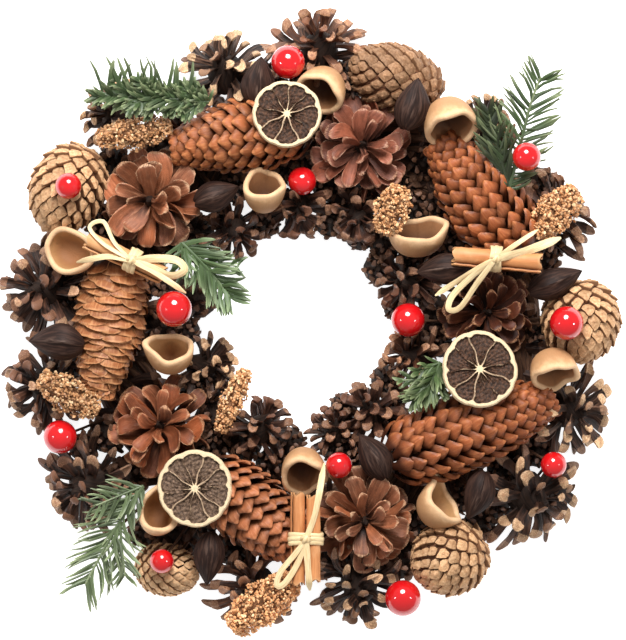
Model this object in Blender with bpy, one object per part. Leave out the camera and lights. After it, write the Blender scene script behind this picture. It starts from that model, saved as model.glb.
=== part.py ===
"""Pinecone wreath, lying flat: cones, pods, lime slices, cinnamon, fir sprays and berries on a vine ring.

Metres, +Z up. The wreath rests on z = 0 with its centre at the origin, and +Y is the top of the wreath.
"""

import math
import random

import bmesh
import bpy
from mathutils import Matrix, Vector
from mathutils.bvhtree import BVHTree

MM = 0.001

# Driving dimensions.
RING_RADIUS = 103 * MM
RING_HALF_WIDTH = 17 * MM
RING_HEIGHT = 14 * MM
CLEARANCE = 0.3 * MM
HIGHEST = 120 * MM
LOWEST_CATKIN = 26 * MM
LOWEST_BERRY = 27 * MM
LOWEST_STEM = 44 * MM
FLOOR_GAP = 1.0 * MM
SANDY_RAISE = 7 * MM
TWIG_RADIUS = 2.2 * MM
WIRE_RADIUS = 1.4 * MM
NEEDLE_ROOT = 1.5 * MM
RIBBON_WIDTH = 2.6 * MM
RIBBON_THICKNESS = 0.9 * MM
RIBBON_STEP = 12 * MM
RIBBON_FALL = 8 * MM
KNOT_RADIUS = 2.8 * MM
FLAT_ENOUGH = math.radians(1.5)
SIDE_MARGIN = 1.2
NOTCH_SHARE = 0.5
TIP_MARGIN = 0.6 * MM
CUP_WALL = 2.2 * MM
LIME_THICKNESS = 3.6 * MM
SEED = 17

# Colour, roughness and metallic value of each material.
FINISHES = {
    "vine": ((0.16, 0.09, 0.05), 0.8, 0.0),
    "cone": ((0.26, 0.12, 0.07), 0.7, 0.0),
    "spruce": ((0.45, 0.20, 0.09), 0.7, 0.0),
    "tan_cone": ((0.50, 0.35, 0.20), 0.8, 0.0),
    "cup": ((0.70, 0.50, 0.30), 0.6, 0.0),
    "catkin": ((0.62, 0.42, 0.20), 0.6, 0.0),
    "needle": ((0.06, 0.16, 0.07), 0.6, 0.0),
    "lime": ((0.75, 0.62, 0.38), 0.6, 0.0),
    "cinnamon": ((0.56, 0.26, 0.10), 0.7, 0.0),
    "raffia": ((0.82, 0.66, 0.38), 0.7, 0.0),
    "berry": ((0.75, 0.02, 0.02), 0.15, 0.0),
}

# Places are in millimetres from the wreath's centre, and angles are in degrees.

# Spruce cones: x, y, heading of the tip, length, radius, rows of scales.
SPRUCE_CONES = {
    "spruce_cone_top_left": (-42, 95, 190, 64, 18.5, 7),
    "spruce_cone_top_right": (86, 66, 126, 68, 20, 7),
    "spruce_cone_left": (-107, -7, 261, 66, 18, 8),
    "spruce_cone_right": (87, -55, 21, 82, 19.5, 9),
    "spruce_cone_bottom": (-27, -103, 321, 62, 19, 7),
}

# Closed sandy cones: x, y, half length, half width, half height, heading.
SANDY_CONES = {
    "sandy_cone_top_left": (-128, 69, 24, 21, 21, 70),
    "sandy_cone_top": (43, 128, 27, 18, 19, 10),
    "sandy_cone_right": (140, 0, 22.5, 21, 21, 90),
    "sandy_cone_bottom_right": (72, -124, 21.5, 20, 20, 30),
    "sandy_cone_bottom_left": (-77, -131, 18, 14, 15, 170),
}

# Open cones: x, y, z of the middle, radius, height, lean, heading of the lean.
OPEN_CONES = {
    "rosette_1": (-85, 62, 36, 27.5, 30, 8, 200),
    "rosette_2": (26, 91, 36, 26.5, 30, 10, 60),
    "rosette_3": (-80, -55, 36, 26.5, 30, 10, 130),
    "rosette_4": (27, -105, 36, 27.5, 30, 8, 300),
    "rosette_5": (91, 4, 35, 25.5, 28, 10, 0),
    "outer_1": (-48, 133, 24, 26.5, 30, 30, 120),
    "outer_2": (5, 146, 24, 25.5, 30, 30, 90),
    "outer_3": (-107, 110, 22, 25.5, 28, 30, 135),
    "outer_4": (-142.5, 16, 24, 24.5, 30, 25, 180),
    "outer_5": (-142.5, -39, 23, 24.5, 28, 25, 190),
    "outer_6": (-119, -82, 24, 26.5, 30, 30, 215),
    "outer_7": (-33, -143, 24, 25.5, 30, 25, 265),
    "outer_8": (19, -145, 24, 24.5, 30, 30, 280),
    "outer_9": (113, -93, 24, 26.5, 30, 30, 330),
    "outer_10": (140, -47, 24, 27.5, 30, 30, 345),
    "outer_11": (133, 48, 22, 24.5, 28, 35, 20),
    "outer_12": (95, 106, 22, 23.5, 28, 35, 50),
    "inner_1": (-40, 47, 24, 21, 26, 30, 300),
    "inner_2": (-7, 55, 24, 20, 26, 35, 280),
    "inner_3": (22, 51, 24, 19, 26, 30, 250),
    "inner_4": (43, 19, 24, 20, 26, 30, 200),
    "inner_5": (41, -18, 24, 20, 26, 30, 170),
    "inner_6": (27, -47, 24, 20, 26, 30, 130),
    "inner_7": (7, -60, 22, 16, 22, 35, 90),
    "inner_8": (-24, -52, 23, 19, 26, 35, 60),
    "inner_9": (-51, -20, 24, 21, 28, 25, 20),
}

# Scales round a cone, rows of scales, points across a scale, and steepness of the top row.
CONE_KINDS = {
    "rosette": (8, 3, 2, 54),
    "outer": (7, 3, 1, 50),
    "inner": (6, 2, 1, 42),
}

# Dark pods: x, y, z of the middle, heading of the point, length, half width.
DARK_PODS = {
    "pod_1": (51, 112, 47, 75, 27, 9),
    "pod_2": (67, 26, 49, 185, 26, 8),
    "pod_3": (122, 17, 40, 10, 29, 8),
    "pod_4": (85, -91, 38, 250, 26, 8),
    "pod_5": (31, -71, 40, 120, 26, 8.5),
    "pod_6": (-54, -124, 38, 265, 27, 8),
    "pod_7": (-133, -12, 44, 175, 28, 9.5),
    "pod_8": (-50, 65, 42, 20, 24, 8),
    "pod_9": (-28, 126, 40, 85, 26, 9),
}

# Each cluster's cones and pods, in pairs held together by a wired stalk.
CLUSTERS = {
    "cone_cluster_top_left": [("rosette_1", "outer_3"), ("rosette_1", "inner_1"), ("inner_1", "pod_8")],
    "cone_cluster_top_right": [
        ("rosette_2", "inner_2"),
        ("inner_2", "inner_3"),
        ("rosette_2", "outer_12"),
        ("rosette_2", "pod_1"),
    ],
    "cone_cluster_right": [
        ("rosette_5", "outer_11"),
        ("outer_11", "pod_3"),
        ("rosette_5", "inner_4"),
        ("inner_4", "pod_2"),
        ("inner_4", "inner_5"),
    ],
    "cone_cluster_bottom": [
        ("rosette_4", "inner_6"),
        ("inner_6", "pod_5"),
        ("inner_6", "inner_7"),
        ("rosette_4", "outer_8"),
        ("outer_8", "outer_7"),
        ("outer_7", "pod_6"),
        ("rosette_4", "outer_9"),
        ("outer_9", "pod_4"),
        ("outer_9", "outer_10"),
    ],
    "cone_cluster_bottom_left": [("rosette_3", "outer_6"), ("rosette_3", "inner_9"), ("inner_9", "inner_8")],
    "cone_cluster_top": [("outer_1", "pod_9"), ("pod_9", "outer_2")],
    "cone_cluster_left": [("outer_4", "pod_7"), ("pod_7", "outer_5")],
}

# Cup pods: x, y, lowest z of the rim's middle, half length, half width, depth, lean, heading of the lean.
CUP_PODS = {
    "cup_pod_1": (-25, 71, 40, 13, 12, 17, 25, 85),
    "cup_pod_2": (2.5, 116, 42, 14, 13, 17, 50, 240),
    "cup_pod_3": (73, 100, 42, 15, 14, 18, 50, 255),
    "cup_pod_4": (54, 47, 40, 12, 17, 15, 50, 95),
    "cup_pod_5": (-127, 36, 42, 14, 12, 17, 15, 150),
    "cup_pod_6": (-74, -13.5, 42, 11.5, 12.5, 16, 48, 85),
    "cup_pod_7": (-79, -98, 42, 13, 10.5, 17, 20, 80),
    "cup_pod_8": (-3, -80.5, 42, 11.5, 11.5, 16, 45, 290),
    "cup_pod_9": (69, -94.5, 42, 12, 12.5, 16, 45, 35),
    "cup_pod_10": (125.5, -28, 42, 12, 13, 16, 50, 262),
}

# Catkins: x, y, heading, length, radius, rise of the far end.
CATKINS = {
    "catkin_1": (-93, 97, 9, 40, 7.3, 0),
    "catkin_2": (41, 57, 252, 27, 8.3, 0),
    "catkin_3": (126, 56, 228, 33, 9, 0),
    "catkin_4": (-127, -39, 330, 36, 8.2, 0),
    "catkin_5": (-42, -42, 247, 36, 5.5, 0),
    "catkin_6": (-24, -146, 218, 42, 9, 0),
}

# Lime slices: x, y, radius, lean, heading of the lean.
LIME_SLICES = {
    "lime_slice_top": (-13.5, 106.5, 17.7, 5, 100),
    "lime_slice_right": (86, -25.5, 19.8, 6, 60),
    "lime_slice_left": (-61, -87, 19.8, 5, 200),
}

# Cinnamon: x, y, heading, length, half width, number of sticks.
CINNAMON = {
    "cinnamon_left": (-97, 32.5, 335, 43, 5.4, 1),
    "cinnamon_right": (95, 31.5, 355, 45, 5.6, 1),
    "cinnamon_bottom": (-3.7, -113, 270, 45, 4.2, 2),
}

# Raffia: distance of the band along the stick from its middle, then the runs of ribbon as offsets from
# the knot. A loop's run comes back to the knot.
RAFFIA = {
    "cinnamon_left": (
        4,
        [
            [(0, 0), (-13, 2), (-29, -1)],
            [(0, 0), (-9, 9), (-15, 20), (-22, 17), (-14, 8), (0, 0)],
            [(0, 0), (12, 1), (23, 0), (27, -5), (20, -8), (10, -4), (0, 0)],
            [(0, 0), (13, -7), (28, -17)],
        ],
    ),
    "cinnamon_right": (
        -1,
        [
            [(0, 0), (16, 4), (34, 11)],
            [(0, 0), (10, 7), (22, 15)],
            [(0, 0), (-14, -8), (-31, -19)],
            [(0, 0), (-9, -12), (-18, -25), (-24, -26), (-22, -19), (-12, -9), (0, 0)],
        ],
    ),
    "cinnamon_bottom": (
        0,
        [
            [(0, 0), (3, 15), (8, 37)],
            [(0, 0), (-4, -12), (-11, -23), (-15, -24), (-13, -17), (-5, -7), (0, 0)],
            [(0, 0), (1, -13), (2, -27)],
        ],
    ),
}

# Fir sprays: the stem from its foot to its tip, as x and y, and the number and length of the needles.
FIR_SPRAYS = {
    "fir_spray_top_left": ([(-54, 115), (-82, 116), (-112, 123)], 28, 19),
    "fir_spray_top_right": ([(105, 68), (104, 98), (112, 132)], 28, 23),
    "fir_spray_left": ([(-66, 42), (-50, 30), (-36, 10)], 22, 17),
    "fir_spray_right": ([(66, -15), (60, -29), (48, -44)], 18, 15),
    "fir_spray_bottom_left": ([(-86, -88), (-97, -115), (-117, -144)], 26, 23),
}

# Berries: x, y, radius.
BERRIES = {
    "berry_1": (-13, 134, 8.8),
    "berry_2": (-5.7, 72.3, 7.4),
    "berry_3": (-126.4, 69.2, 6.8),
    "berry_4": (-71.8, 5.7, 9.3),
    "berry_5": (49.4, 0, 8.8),
    "berry_6": (131, -1.6, 8.8),
    "berry_7": (110.2, 84.2, 7.4),
    "berry_8": (-131.6, -60.8, 8.8),
    "berry_9": (-78.5, -125.3, 6.3),
    "berry_10": (13.5, -75.4, 6.8),
    "berry_11": (125.3, -75.4, 6.8),
    "berry_12": (46.3, -145.6, 8.8),
}


def clear_scene():
    """Remove whatever the file holds."""
    for thing in list(bpy.data.objects):
        bpy.data.objects.remove(thing)


def finish_for(name):
    """Material of a node: a Principled BSDF with the colour of its family."""
    colour, roughness, metallic = FINISHES[name]
    material = bpy.data.materials.new(name)
    material.use_nodes = True
    shader = material.node_tree.nodes["Principled BSDF"]
    shader.inputs["Base Color"].default_value = (*colour, 1.0)
    shader.inputs["Roughness"].default_value = roughness
    shader.inputs["Metallic"].default_value = metallic
    return material


# Frames

def leaning(x, y, z, lean=0.0, heading=0.0):
    """Frame at a place in metres whose +Z leans by an angle towards a heading."""
    turn = Matrix.Rotation(math.radians(heading), 4, "Z")
    tilt = Matrix.Rotation(math.radians(lean), 4, "Y")
    return Matrix.Translation((x, y, z)) @ turn @ tilt


def lying(x, y, z, heading, rise=0.0):
    """Frame at a place in metres whose +X points along a heading, with its far end raised."""
    turn = Matrix.Rotation(math.radians(heading), 4, "Z")
    pitch = Matrix.Rotation(math.radians(-rise), 4, "Y")
    return Matrix.Translation((x, y, z)) @ turn @ pitch


def moved(shape, frame):
    """A shape, as points and triangles, in another frame."""
    points, faces = shape
    return [frame @ point for point in points], faces


# Shapes: each is a list of points and a list of triangles that close one body.

def loft(rings, start=None, end=None):
    """Close a stack of equal rings. An end is a flat cap, or runs to a given point."""
    count = len(rings[0])
    points = [Vector(point) for ring in rings for point in ring]
    faces = []
    for lower in range(0, count * (len(rings) - 1), count):
        for k in range(count):
            a = lower + k
            b = lower + (k + 1) % count
            faces += [(a, b, b + count), (a, b + count, a + count)]
    last = count * (len(rings) - 1)
    for first, apex, flip in ((0, start, True), (last, end, False)):
        corners = list(range(first, first + count))
        if apex is None:
            fan = [(first, corners[k], corners[k + 1]) for k in range(1, count - 1)]
        else:
            points.append(Vector(apex))
            tip = len(points) - 1
            fan = [(corners[k], corners[(k + 1) % count], tip) for k in range(count)]
        faces += [tuple(reversed(face)) for face in fan] if flip else fan
    return points, faces


def circle(count, along, across, height=0.0, offset=0.0):
    """Points round an ellipse in the XY plane, anticlockwise."""
    step = math.tau / count
    return [
        (along * math.cos(step * (k + offset)), across * math.sin(step * (k + offset)), height)
        for k in range(count)
    ]


def belly(share):
    """Radius of a long cone at a share of its length, against its widest."""
    return math.sin(math.pi * (0.14 + 0.79 * share) ** 0.8)


def shingled_cone(length, radius, rows, around=6):
    """Long cone along X. Each row of scales ends in a lip of raised points over the next row."""
    rings = []
    row_length = length / (rows + 0.4)
    for row in range(rows):
        foot = row * row_length
        lip = []
        seat = []
        for k in range(2 * around):
            pointed = (k + row) % 2 == 0
            turn = math.pi * k / around
            reach = foot + row_length * (1.3 if pointed else 0.9)
            girth = radius * belly(reach / length) * (1.0 if pointed else 0.9)
            seat_girth = radius * belly(foot / length) * 0.84
            seat.append((foot, seat_girth * math.cos(turn), seat_girth * math.sin(turn)))
            lip.append((min(reach, length), girth * math.cos(turn), girth * math.sin(turn)))
        rings += [seat, lip]
    shape = loft(rings, end=(length * 1.01, 0, 0))
    return moved(shape, Matrix.Translation((-length / 2, 0, 0)))


def tiled_cone(half_length, half_width, half_height, around=7, rows=5):
    """Closed cone along X, covered in raised tiles with grooves between them."""
    tiles = bmesh.new()
    bmesh.ops.create_uvsphere(tiles, u_segments=around, v_segments=rows, radius=1.0)
    stretch = Matrix.Diagonal((half_height, half_width, half_length, 1.0))
    upright = Matrix.Rotation(math.radians(90), 4, "Y")
    bmesh.ops.transform(tiles, matrix=upright @ stretch, verts=tiles.verts)
    bmesh.ops.inset_individual(tiles, faces=tiles.faces[:], thickness=1.3 * MM, depth=1.7 * MM)
    shape = read_out(tiles)
    tiles.free()
    return shape


def read_out(mesh):
    """Points and triangles of a bmesh."""
    bmesh.ops.triangulate(mesh, faces=mesh.faces[:])
    mesh.verts.index_update()
    points = [vertex.co.copy() for vertex in mesh.verts]
    return points, [tuple(vertex.index for vertex in face.verts) for face in mesh.faces]


def open_cone(radius, height, kind, start, measure):
    """Open cone pointing up. Each row of scales is a crown of broad teeth, staggered against the next.

    The function measure gives how far a tooth may reach, from its place, full reach and half width.
    """
    around, rows, across, steepest = CONE_KINDS[kind]
    count = 2 * across * around
    rings = []
    for row in range(rows):
        share = row / (rows - 1)
        rise = math.radians(4 + (steepest - 4) * share)
        foot = height * (0.1 + 0.66 * row / rows)
        seat = radius * (0.3 - 0.13 * share)
        girth = radius * (1.0 - 0.55 * share)
        full = (girth - seat) / math.cos(rise)
        half = girth * math.sin(math.pi / around) * 0.62
        rings.append(circle(count, seat, seat, foot, start * count / math.tau))
        stagger = across * (row % 2)
        reaches = []
        for scale in range(around):
            middle = start + math.tau * (2 * across * scale + stagger) / count
            place = Matrix.Rotation(middle, 4, "Z") @ Matrix.Translation((seat, 0, foot + 1.5 * MM))
            reaches.append(measure(place @ Matrix.Rotation(-rise, 4, "Y"), full, half))
        crown = []
        for k in range(count):
            turn = start + math.tau * k / count
            scale, step = divmod(k - stagger + across, 2 * across)
            if step == 0:
                reach = NOTCH_SHARE * min(reaches[scale % around], reaches[(scale - 1) % around])
            else:
                reach = reaches[scale % around] * (1.0 if step == across else 0.92)
            out = seat + reach * math.cos(rise)
            crown.append((out * math.cos(turn), out * math.sin(turn), foot + 1.5 * MM + reach * math.sin(rise)))
        rings.append(crown)
    neck = radius * 0.12
    rings.append(circle(count, neck, neck, height * 0.82, start * count / math.tau))
    return loft(rings, end=(0, 0, height))


def tooth(length, half_width, thickness):
    """One scale by itself along X, thicker at its root, for testing its reach."""
    rings = []
    for reach, half, low, high in (
        (0, half_width * 0.5, thickness, 3.5 * thickness),
        (length * 0.9, half_width, thickness * 0.4, thickness * 0.6),
    ):
        rings.append([(reach, -half, -low), (reach, half, -low), (reach, half, high), (reach, -half, high)])
    return loft(rings, end=(length, 0, 0))


def pod(length, half_width):
    """Pointed pod along X with a ridge on top."""
    rings = []
    for share, girth in ((0.12, 0.55), (0.42, 1.0), (0.75, 0.62)):
        half = half_width * girth
        reach = length * (share - 0.5)
        high = half * 0.75
        rings.append(
            [
                (reach, -half, 0),
                (reach, -half * 0.5, -high * 0.6),
                (reach, half * 0.5, -high * 0.6),
                (reach, half, 0),
                (reach, half * 0.3, high * 0.7),
                (reach, -half * 0.1, high),
            ]
        )
    return loft(rings, start=(-length / 2, 0, 0), end=(length / 2, 0, 0))


def twig(start, end, radius=TWIG_RADIUS):
    """Straight four-sided stalk between two points."""
    line = end - start
    frame = Matrix.Translation(start) @ line.to_track_quat("X", "Z").to_matrix().to_4x4()
    rings = [
        [(reach, radius * math.cos(turn), radius * math.sin(turn)) for turn in (0.3, 1.87, 3.44, 5.01)]
        for reach in (0.0, line.length)
    ]
    return moved(loft(rings), frame)


def cup(half_length, half_width, depth, around=10):
    """Thick-walled cup with its rim's middle at the origin, opening up."""
    rings = []
    for girth, height in ((0.45, -1.0), (0.93, -0.5), (1.0, 0.0)):
        rings.append(circle(around, half_length * girth, half_width * girth, depth * height))
    for girth, height in ((1.0, 0.0), (0.4, -0.78)):
        inner_length = (half_length - CUP_WALL) * girth
        inner_width = (half_width - CUP_WALL) * girth
        rings.append(circle(around, inner_length, inner_width, depth * height))
    return loft(rings)


def catkin(length, radius, chance, around=8, rows=7):
    """Lumpy spindle along X."""
    rings = []
    for row in range(rows):
        share = (row + 0.6) / (rows + 0.2)
        girth = radius * math.sin(math.pi * share) ** 0.5
        rings.append(
            [
                (
                    length * (share - 0.5) + chance.uniform(-0.5, 0.5) * MM,
                    girth * bump * math.cos(math.tau * (k + 0.5 * (row % 2)) / around),
                    girth * bump * math.sin(math.tau * (k + 0.5 * (row % 2)) / around),
                )
                for k, bump in ((k, chance.uniform(0.84, 1.08)) for k in range(around))
            ]
        )
    return loft(rings, start=(-length / 2, 0, 0), end=(length / 2, 0, 0))


def lime_slice(radius, wedges=8):
    """Slice with a raised rind, raised membranes and a raised middle, lying in the XY plane."""
    count = 2 * wedges
    slice_mesh = bmesh.new()
    half = LIME_THICKNESS / 2
    outer = [slice_mesh.verts.new(point) for point in circle(count, radius * 0.97, radius * 0.97, -half)]
    edge = [slice_mesh.verts.new(point) for point in circle(count, radius, radius, half)]
    rind = [slice_mesh.verts.new(point) for point in circle(count, radius * 0.9, radius * 0.9, half)]
    heart = [slice_mesh.verts.new(point) for point in circle(wedges, radius * 0.17, radius * 0.17, half)]
    slice_mesh.faces.new(list(reversed(outer)))
    slice_mesh.faces.new(heart)
    for k in range(count):
        following = (k + 1) % count
        slice_mesh.faces.new((outer[k], outer[following], edge[following], edge[k]))
        slice_mesh.faces.new((edge[k], edge[following], rind[following], rind[k]))
    flesh = []
    for k in range(wedges):
        following = (k + 1) % wedges
        corners = (rind[2 * k], rind[2 * k + 1], rind[(2 * k + 2) % count], heart[following], heart[k])
        flesh.append(slice_mesh.faces.new(corners))
    bmesh.ops.inset_individual(slice_mesh, faces=flesh, thickness=0.7 * MM, depth=-1.2 * MM)
    shape = read_out(slice_mesh)
    slice_mesh.free()
    return shape


def quill(length, radius, opening, around=9):
    """Cinnamon stick along X: a curled sheet of bark with its long edges a little apart."""
    wall = radius * 0.3
    sweep = math.radians(320)
    turns = [math.radians(opening) + (k / (around - 1) - 0.5) * sweep for k in range(around)]
    outer = [(radius * math.cos(turn), radius * math.sin(turn)) for turn in turns]
    inner = [((radius - wall) * math.cos(turn), (radius - wall) * math.sin(turn)) for turn in turns]
    sheet = bmesh.new()
    ends = []
    for reach in (-length / 2, length / 2):
        ends.append([[sheet.verts.new((reach, *point)) for point in side] for side in (outer, inner)])
    (near_outer, near_inner), (far_outer, far_inner) = ends
    for k in range(around - 1):
        sheet.faces.new((near_outer[k], near_outer[k + 1], far_outer[k + 1], far_outer[k]))
        sheet.faces.new((near_inner[k + 1], near_inner[k], far_inner[k], far_inner[k + 1]))
        sheet.faces.new((near_outer[k + 1], near_outer[k], near_inner[k], near_inner[k + 1]))
        sheet.faces.new((far_outer[k], far_outer[k + 1], far_inner[k + 1], far_inner[k]))
    for k in (0, around - 1):
        sheet.faces.new((near_outer[k], far_outer[k], far_inner[k], near_inner[k]))
    bmesh.ops.recalc_face_normals(sheet, faces=sheet.faces[:])
    shape = read_out(sheet)
    sheet.free()
    return shape


def band(half_width, half_height, breadth, around=12):
    """Flat ribbon wound once round a stick that lies along X."""
    rings = []
    inner_fit = 1 / math.cos(math.pi / around)
    for k in range(around):
        turn = math.tau * (k + 0.5) / around
        ring = []
        for reach, gap in ((-1, CLEARANCE), (1, CLEARANCE), (1, CLEARANCE + 1.1 * MM), (-1, CLEARANCE + 1.1 * MM)):
            bend = (half_height + gap) * inner_fit
            flat = math.copysign(half_width - half_height, math.cos(turn))
            ring.append((reach * breadth / 2, flat + bend * math.cos(turn), bend * math.sin(turn)))
        rings.append([Vector(point) for point in ring])
    points = [point for ring in rings for point in ring]
    faces = []
    for k in range(around):
        following = (k + 1) % around
        for side in range(4):
            a = 4 * k + side
            b = 4 * k + (side + 1) % 4
            c = 4 * following + (side + 1) % 4
            d = 4 * following + side
            faces += [(a, b, c), (a, c, d)]
    return points, [tuple(reversed(face)) for face in faces]


def ribbon(path, width, thickness):
    """Flat strip along a path, lying face up."""
    rings = []
    for k, point in enumerate(path):
        along = path[min(k + 1, len(path) - 1)] - path[max(k - 1, 0)]
        along.z = 0
        across = Vector((-along.y, along.x, 0)).normalized() * width / 2
        low = Vector((0, 0, -thickness / 2))
        rings.append([point + across + low, point - across + low, point - across - low, point + across - low])
    return loft(rings)


def ball(radius, subdivisions=2):
    """Sphere of even triangles."""
    mesh = bmesh.new()
    bmesh.ops.create_icosphere(mesh, subdivisions=subdivisions, radius=radius)
    shape = read_out(mesh)
    mesh.free()
    return shape


def needle(length, root):
    """Three-sided needle along X."""
    ring = [(0, root * 0.5 * math.cos(turn), root * 0.5 * math.sin(turn)) for turn in (0.4, 2.5, 4.6)]
    points = [Vector(point) for point in ring] + [Vector((length, 0, 0))]
    return points, [(2, 1, 0), (0, 1, 3), (1, 2, 3), (2, 0, 3)]


def vine_ring(steps=36, lobes=6):
    """Ring of twisted vine with a flat underside."""
    rings = []
    for step in range(steps):
        turn = math.tau * step / steps
        ring = []
        for lobe in range(lobes):
            angle = math.tau * (lobe + 0.5) / lobes
            swell = 1.0 + 0.07 * math.sin(3 * angle + 11 * turn) + 0.04 * math.sin(5 * turn + angle)
            out = RING_RADIUS + RING_HALF_WIDTH * swell * math.cos(angle)
            high = RING_HEIGHT * (0.5 + 0.5 * swell * math.sin(angle))
            ring.append(Vector((out * math.cos(turn), out * math.sin(turn), high if angle < math.pi * 1.2 else 0)))
        rings.append(ring)
    points = [point for ring in rings for point in ring]
    for point in points:
        if point.z < 0.12 * RING_HEIGHT:
            point.z = 0
    faces = []
    for step in range(steps):
        for lobe in range(lobes):
            a = lobes * step + lobe
            b = lobes * step + (lobe + 1) % lobes
            c = lobes * ((step + 1) % steps) + (lobe + 1) % lobes
            d = lobes * ((step + 1) % steps) + lobe
            faces += [(a, c, b), (a, d, c)]
    return points, faces


# Placing: what is already in place is kept as search trees, to test new shapes against.

PLACED = {}


def tree_of(shape):
    """Search tree of a shape with its box."""
    points, faces = shape
    low = [min(point[axis] for point in points) for axis in range(3)]
    high = [max(point[axis] for point in points) for axis in range(3)]
    return BVHTree.FromPolygons(points, faces), low, high


def is_clear(shape, leave_out=()):
    """True where a shape touches nothing in place and stays above the surface."""
    tree, low, high = tree_of(shape)
    if low[2] < FLOOR_GAP:
        return False
    for name, (other, other_low, other_high) in PLACED.items():
        apart = any(low[axis] > other_high[axis] or high[axis] < other_low[axis] for axis in range(3))
        if name not in leave_out and not apart and tree.overlap(other):
            return False
    return True


def fitting_length(make, full, shortest, leave_out=()):
    """The greatest length, from shortest to full, at which a shape stays clear."""
    if is_clear(make(full, CLEARANCE), leave_out):
        return full
    low, high = shortest, full
    for _ in range(6):
        middle = (low + high) / 2
        if is_clear(make(middle, CLEARANCE), leave_out):
            low = middle
        else:
            high = middle
    return low


def trimmed(make, full, shortest, leave_out=()):
    """The longest version of a shape that stays clear, or nothing."""
    length = fitting_length(make, full, shortest, leave_out)
    if length == shortest:
        return None
    return make(length, 0.0)


def seated(shapes, lowest=FLOOR_GAP):
    """How far to lower shapes from above until one nearly touches what is in place, or is at its lowest."""
    joined = joined_shape(shapes)
    bottom = min(point.z for point in joined[0])
    height = HIGHEST - bottom
    floor = lowest - bottom
    step = 2 * MM
    while height - step > floor and is_clear(moved(joined, Matrix.Translation((0, 0, height - step)))):
        height -= step
    low = max(height - step, floor)
    for _ in range(7):
        middle = (low + height) / 2
        if is_clear(moved(joined, Matrix.Translation((0, 0, middle)))):
            height = middle
        else:
            low = middle
    return Matrix.Translation((0, 0, height + CLEARANCE))


def settled(shape, lowest):
    """Shape lowered until it rests. One that reaches its lowest place instead is held there by a stalk."""
    drop = seated([shape], lowest)
    shape = moved(shape, drop)
    bottom = min(point.z for point in shape[0])
    if bottom > lowest + 2 * CLEARANCE:
        return shape
    middle = sum(shape[0], Vector()) / len(shape[0])
    inside = min(shape[0], key=lambda point: (point - middle).length + 3 * point.z)
    stalk = stalk_to_neighbour(inside.lerp(middle, 0.2))
    return fused([shape, stalk]) if stalk else shape


def stalk_to_neighbour(place):
    """Short stalk from inside a shape to the nearest thing in place, ending just clear of it."""
    nearest = min((tree.find_nearest(place) for tree, _, _ in PLACED.values()), key=lambda found: found[3])
    line = nearest[0] - place

    def make(length, gap):
        return twig(place, place + line.normalized() * (length + gap), WIRE_RADIUS)

    return trimmed(make, line.length, 0.5 * MM)


def joined_shape(shapes):
    """Shapes as one list of points and one of triangles."""
    points = []
    faces = []
    for shape_points, shape_faces in shapes:
        base = len(points)
        points += shape_points
        faces += [tuple(index + base for index in face) for face in shape_faces]
    return points, faces


def top_at(x, y):
    """Height of what is in place at a point of the plan."""
    highest = 0.0
    for tree, low, high in PLACED.values():
        if low[0] <= x <= high[0] and low[1] <= y <= high[1]:
            hit = tree.ray_cast(Vector((x, y, 0.3)), Vector((0, 0, -1)))[0]
            if hit is not None:
                highest = max(highest, hit.z)
    return highest


# Nodes

def add_mesh_object(name, shape, collection=None):
    """Object of a shape's points and triangles."""
    points, faces = shape
    mesh = bpy.data.meshes.new(name)
    mesh.from_pydata(points, [], faces)
    mesh.update()
    thing = bpy.data.objects.new(name, mesh)
    (collection or bpy.context.scene.collection).objects.link(thing)
    return thing


def add_node(name, shape, material):
    """Node of one shape, which later shapes keep clear of."""
    thing = add_mesh_object(name, outward(shape))
    thing.data.materials.append(material)
    thing.data.shade_smooth()
    thing.data.set_sharp_from_angle(angle=math.radians(35))
    PLACED[name] = tree_of(shape)
    return thing


def largest_body(mesh, merging):
    """Points and triangles of a mesh's largest body, without loose scraps, its flat faces merged or not."""
    body = bmesh.new()
    body.from_mesh(mesh)
    bmesh.ops.remove_doubles(body, verts=body.verts[:], dist=1e-7)
    unseen = set(body.faces)
    largest = set()
    while unseen:
        first = unseen.pop()
        found = {first}
        waiting = [first]
        while waiting:
            for edge in waiting.pop().edges:
                for face in edge.link_faces:
                    if face not in found:
                        found.add(face)
                        waiting.append(face)
        unseen -= found
        if len(found) > len(largest):
            largest = found
    bmesh.ops.delete(body, geom=[face for face in body.faces if face not in largest], context="FACES")
    if merging:
        bmesh.ops.dissolve_limit(body, angle_limit=FLAT_ENOUGH, verts=body.verts[:], edges=body.edges[:])
    shape = read_out(body)
    body.free()
    return shape


def fused(shapes):
    """One closed body from overlapping shapes."""
    for solver, merging in (("EXACT", True), ("MANIFOLD", True), ("EXACT", False), ("MANIFOLD", False)):
        shape = union(shapes, solver, merging)
        if is_closed(shape):
            break
    return shape


def is_closed(shape):
    """True where each edge of a shape has a triangle on both sides."""
    sides = {}
    for a, b, c in shape[1]:
        for edge in ((a, b), (b, c), (c, a)):
            sides[frozenset(edge)] = sides.get(frozenset(edge), 0) + 1
    return all(count == 2 for count in sides.values())


def outward(shape):
    """Shape with its triangles turned to face out."""
    points, faces = shape
    volume = sum(points[a].dot(points[b].cross(points[c])) for a, b, c in faces)
    return (points, faces) if volume > 0 else (points, [tuple(reversed(face)) for face in faces])


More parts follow.
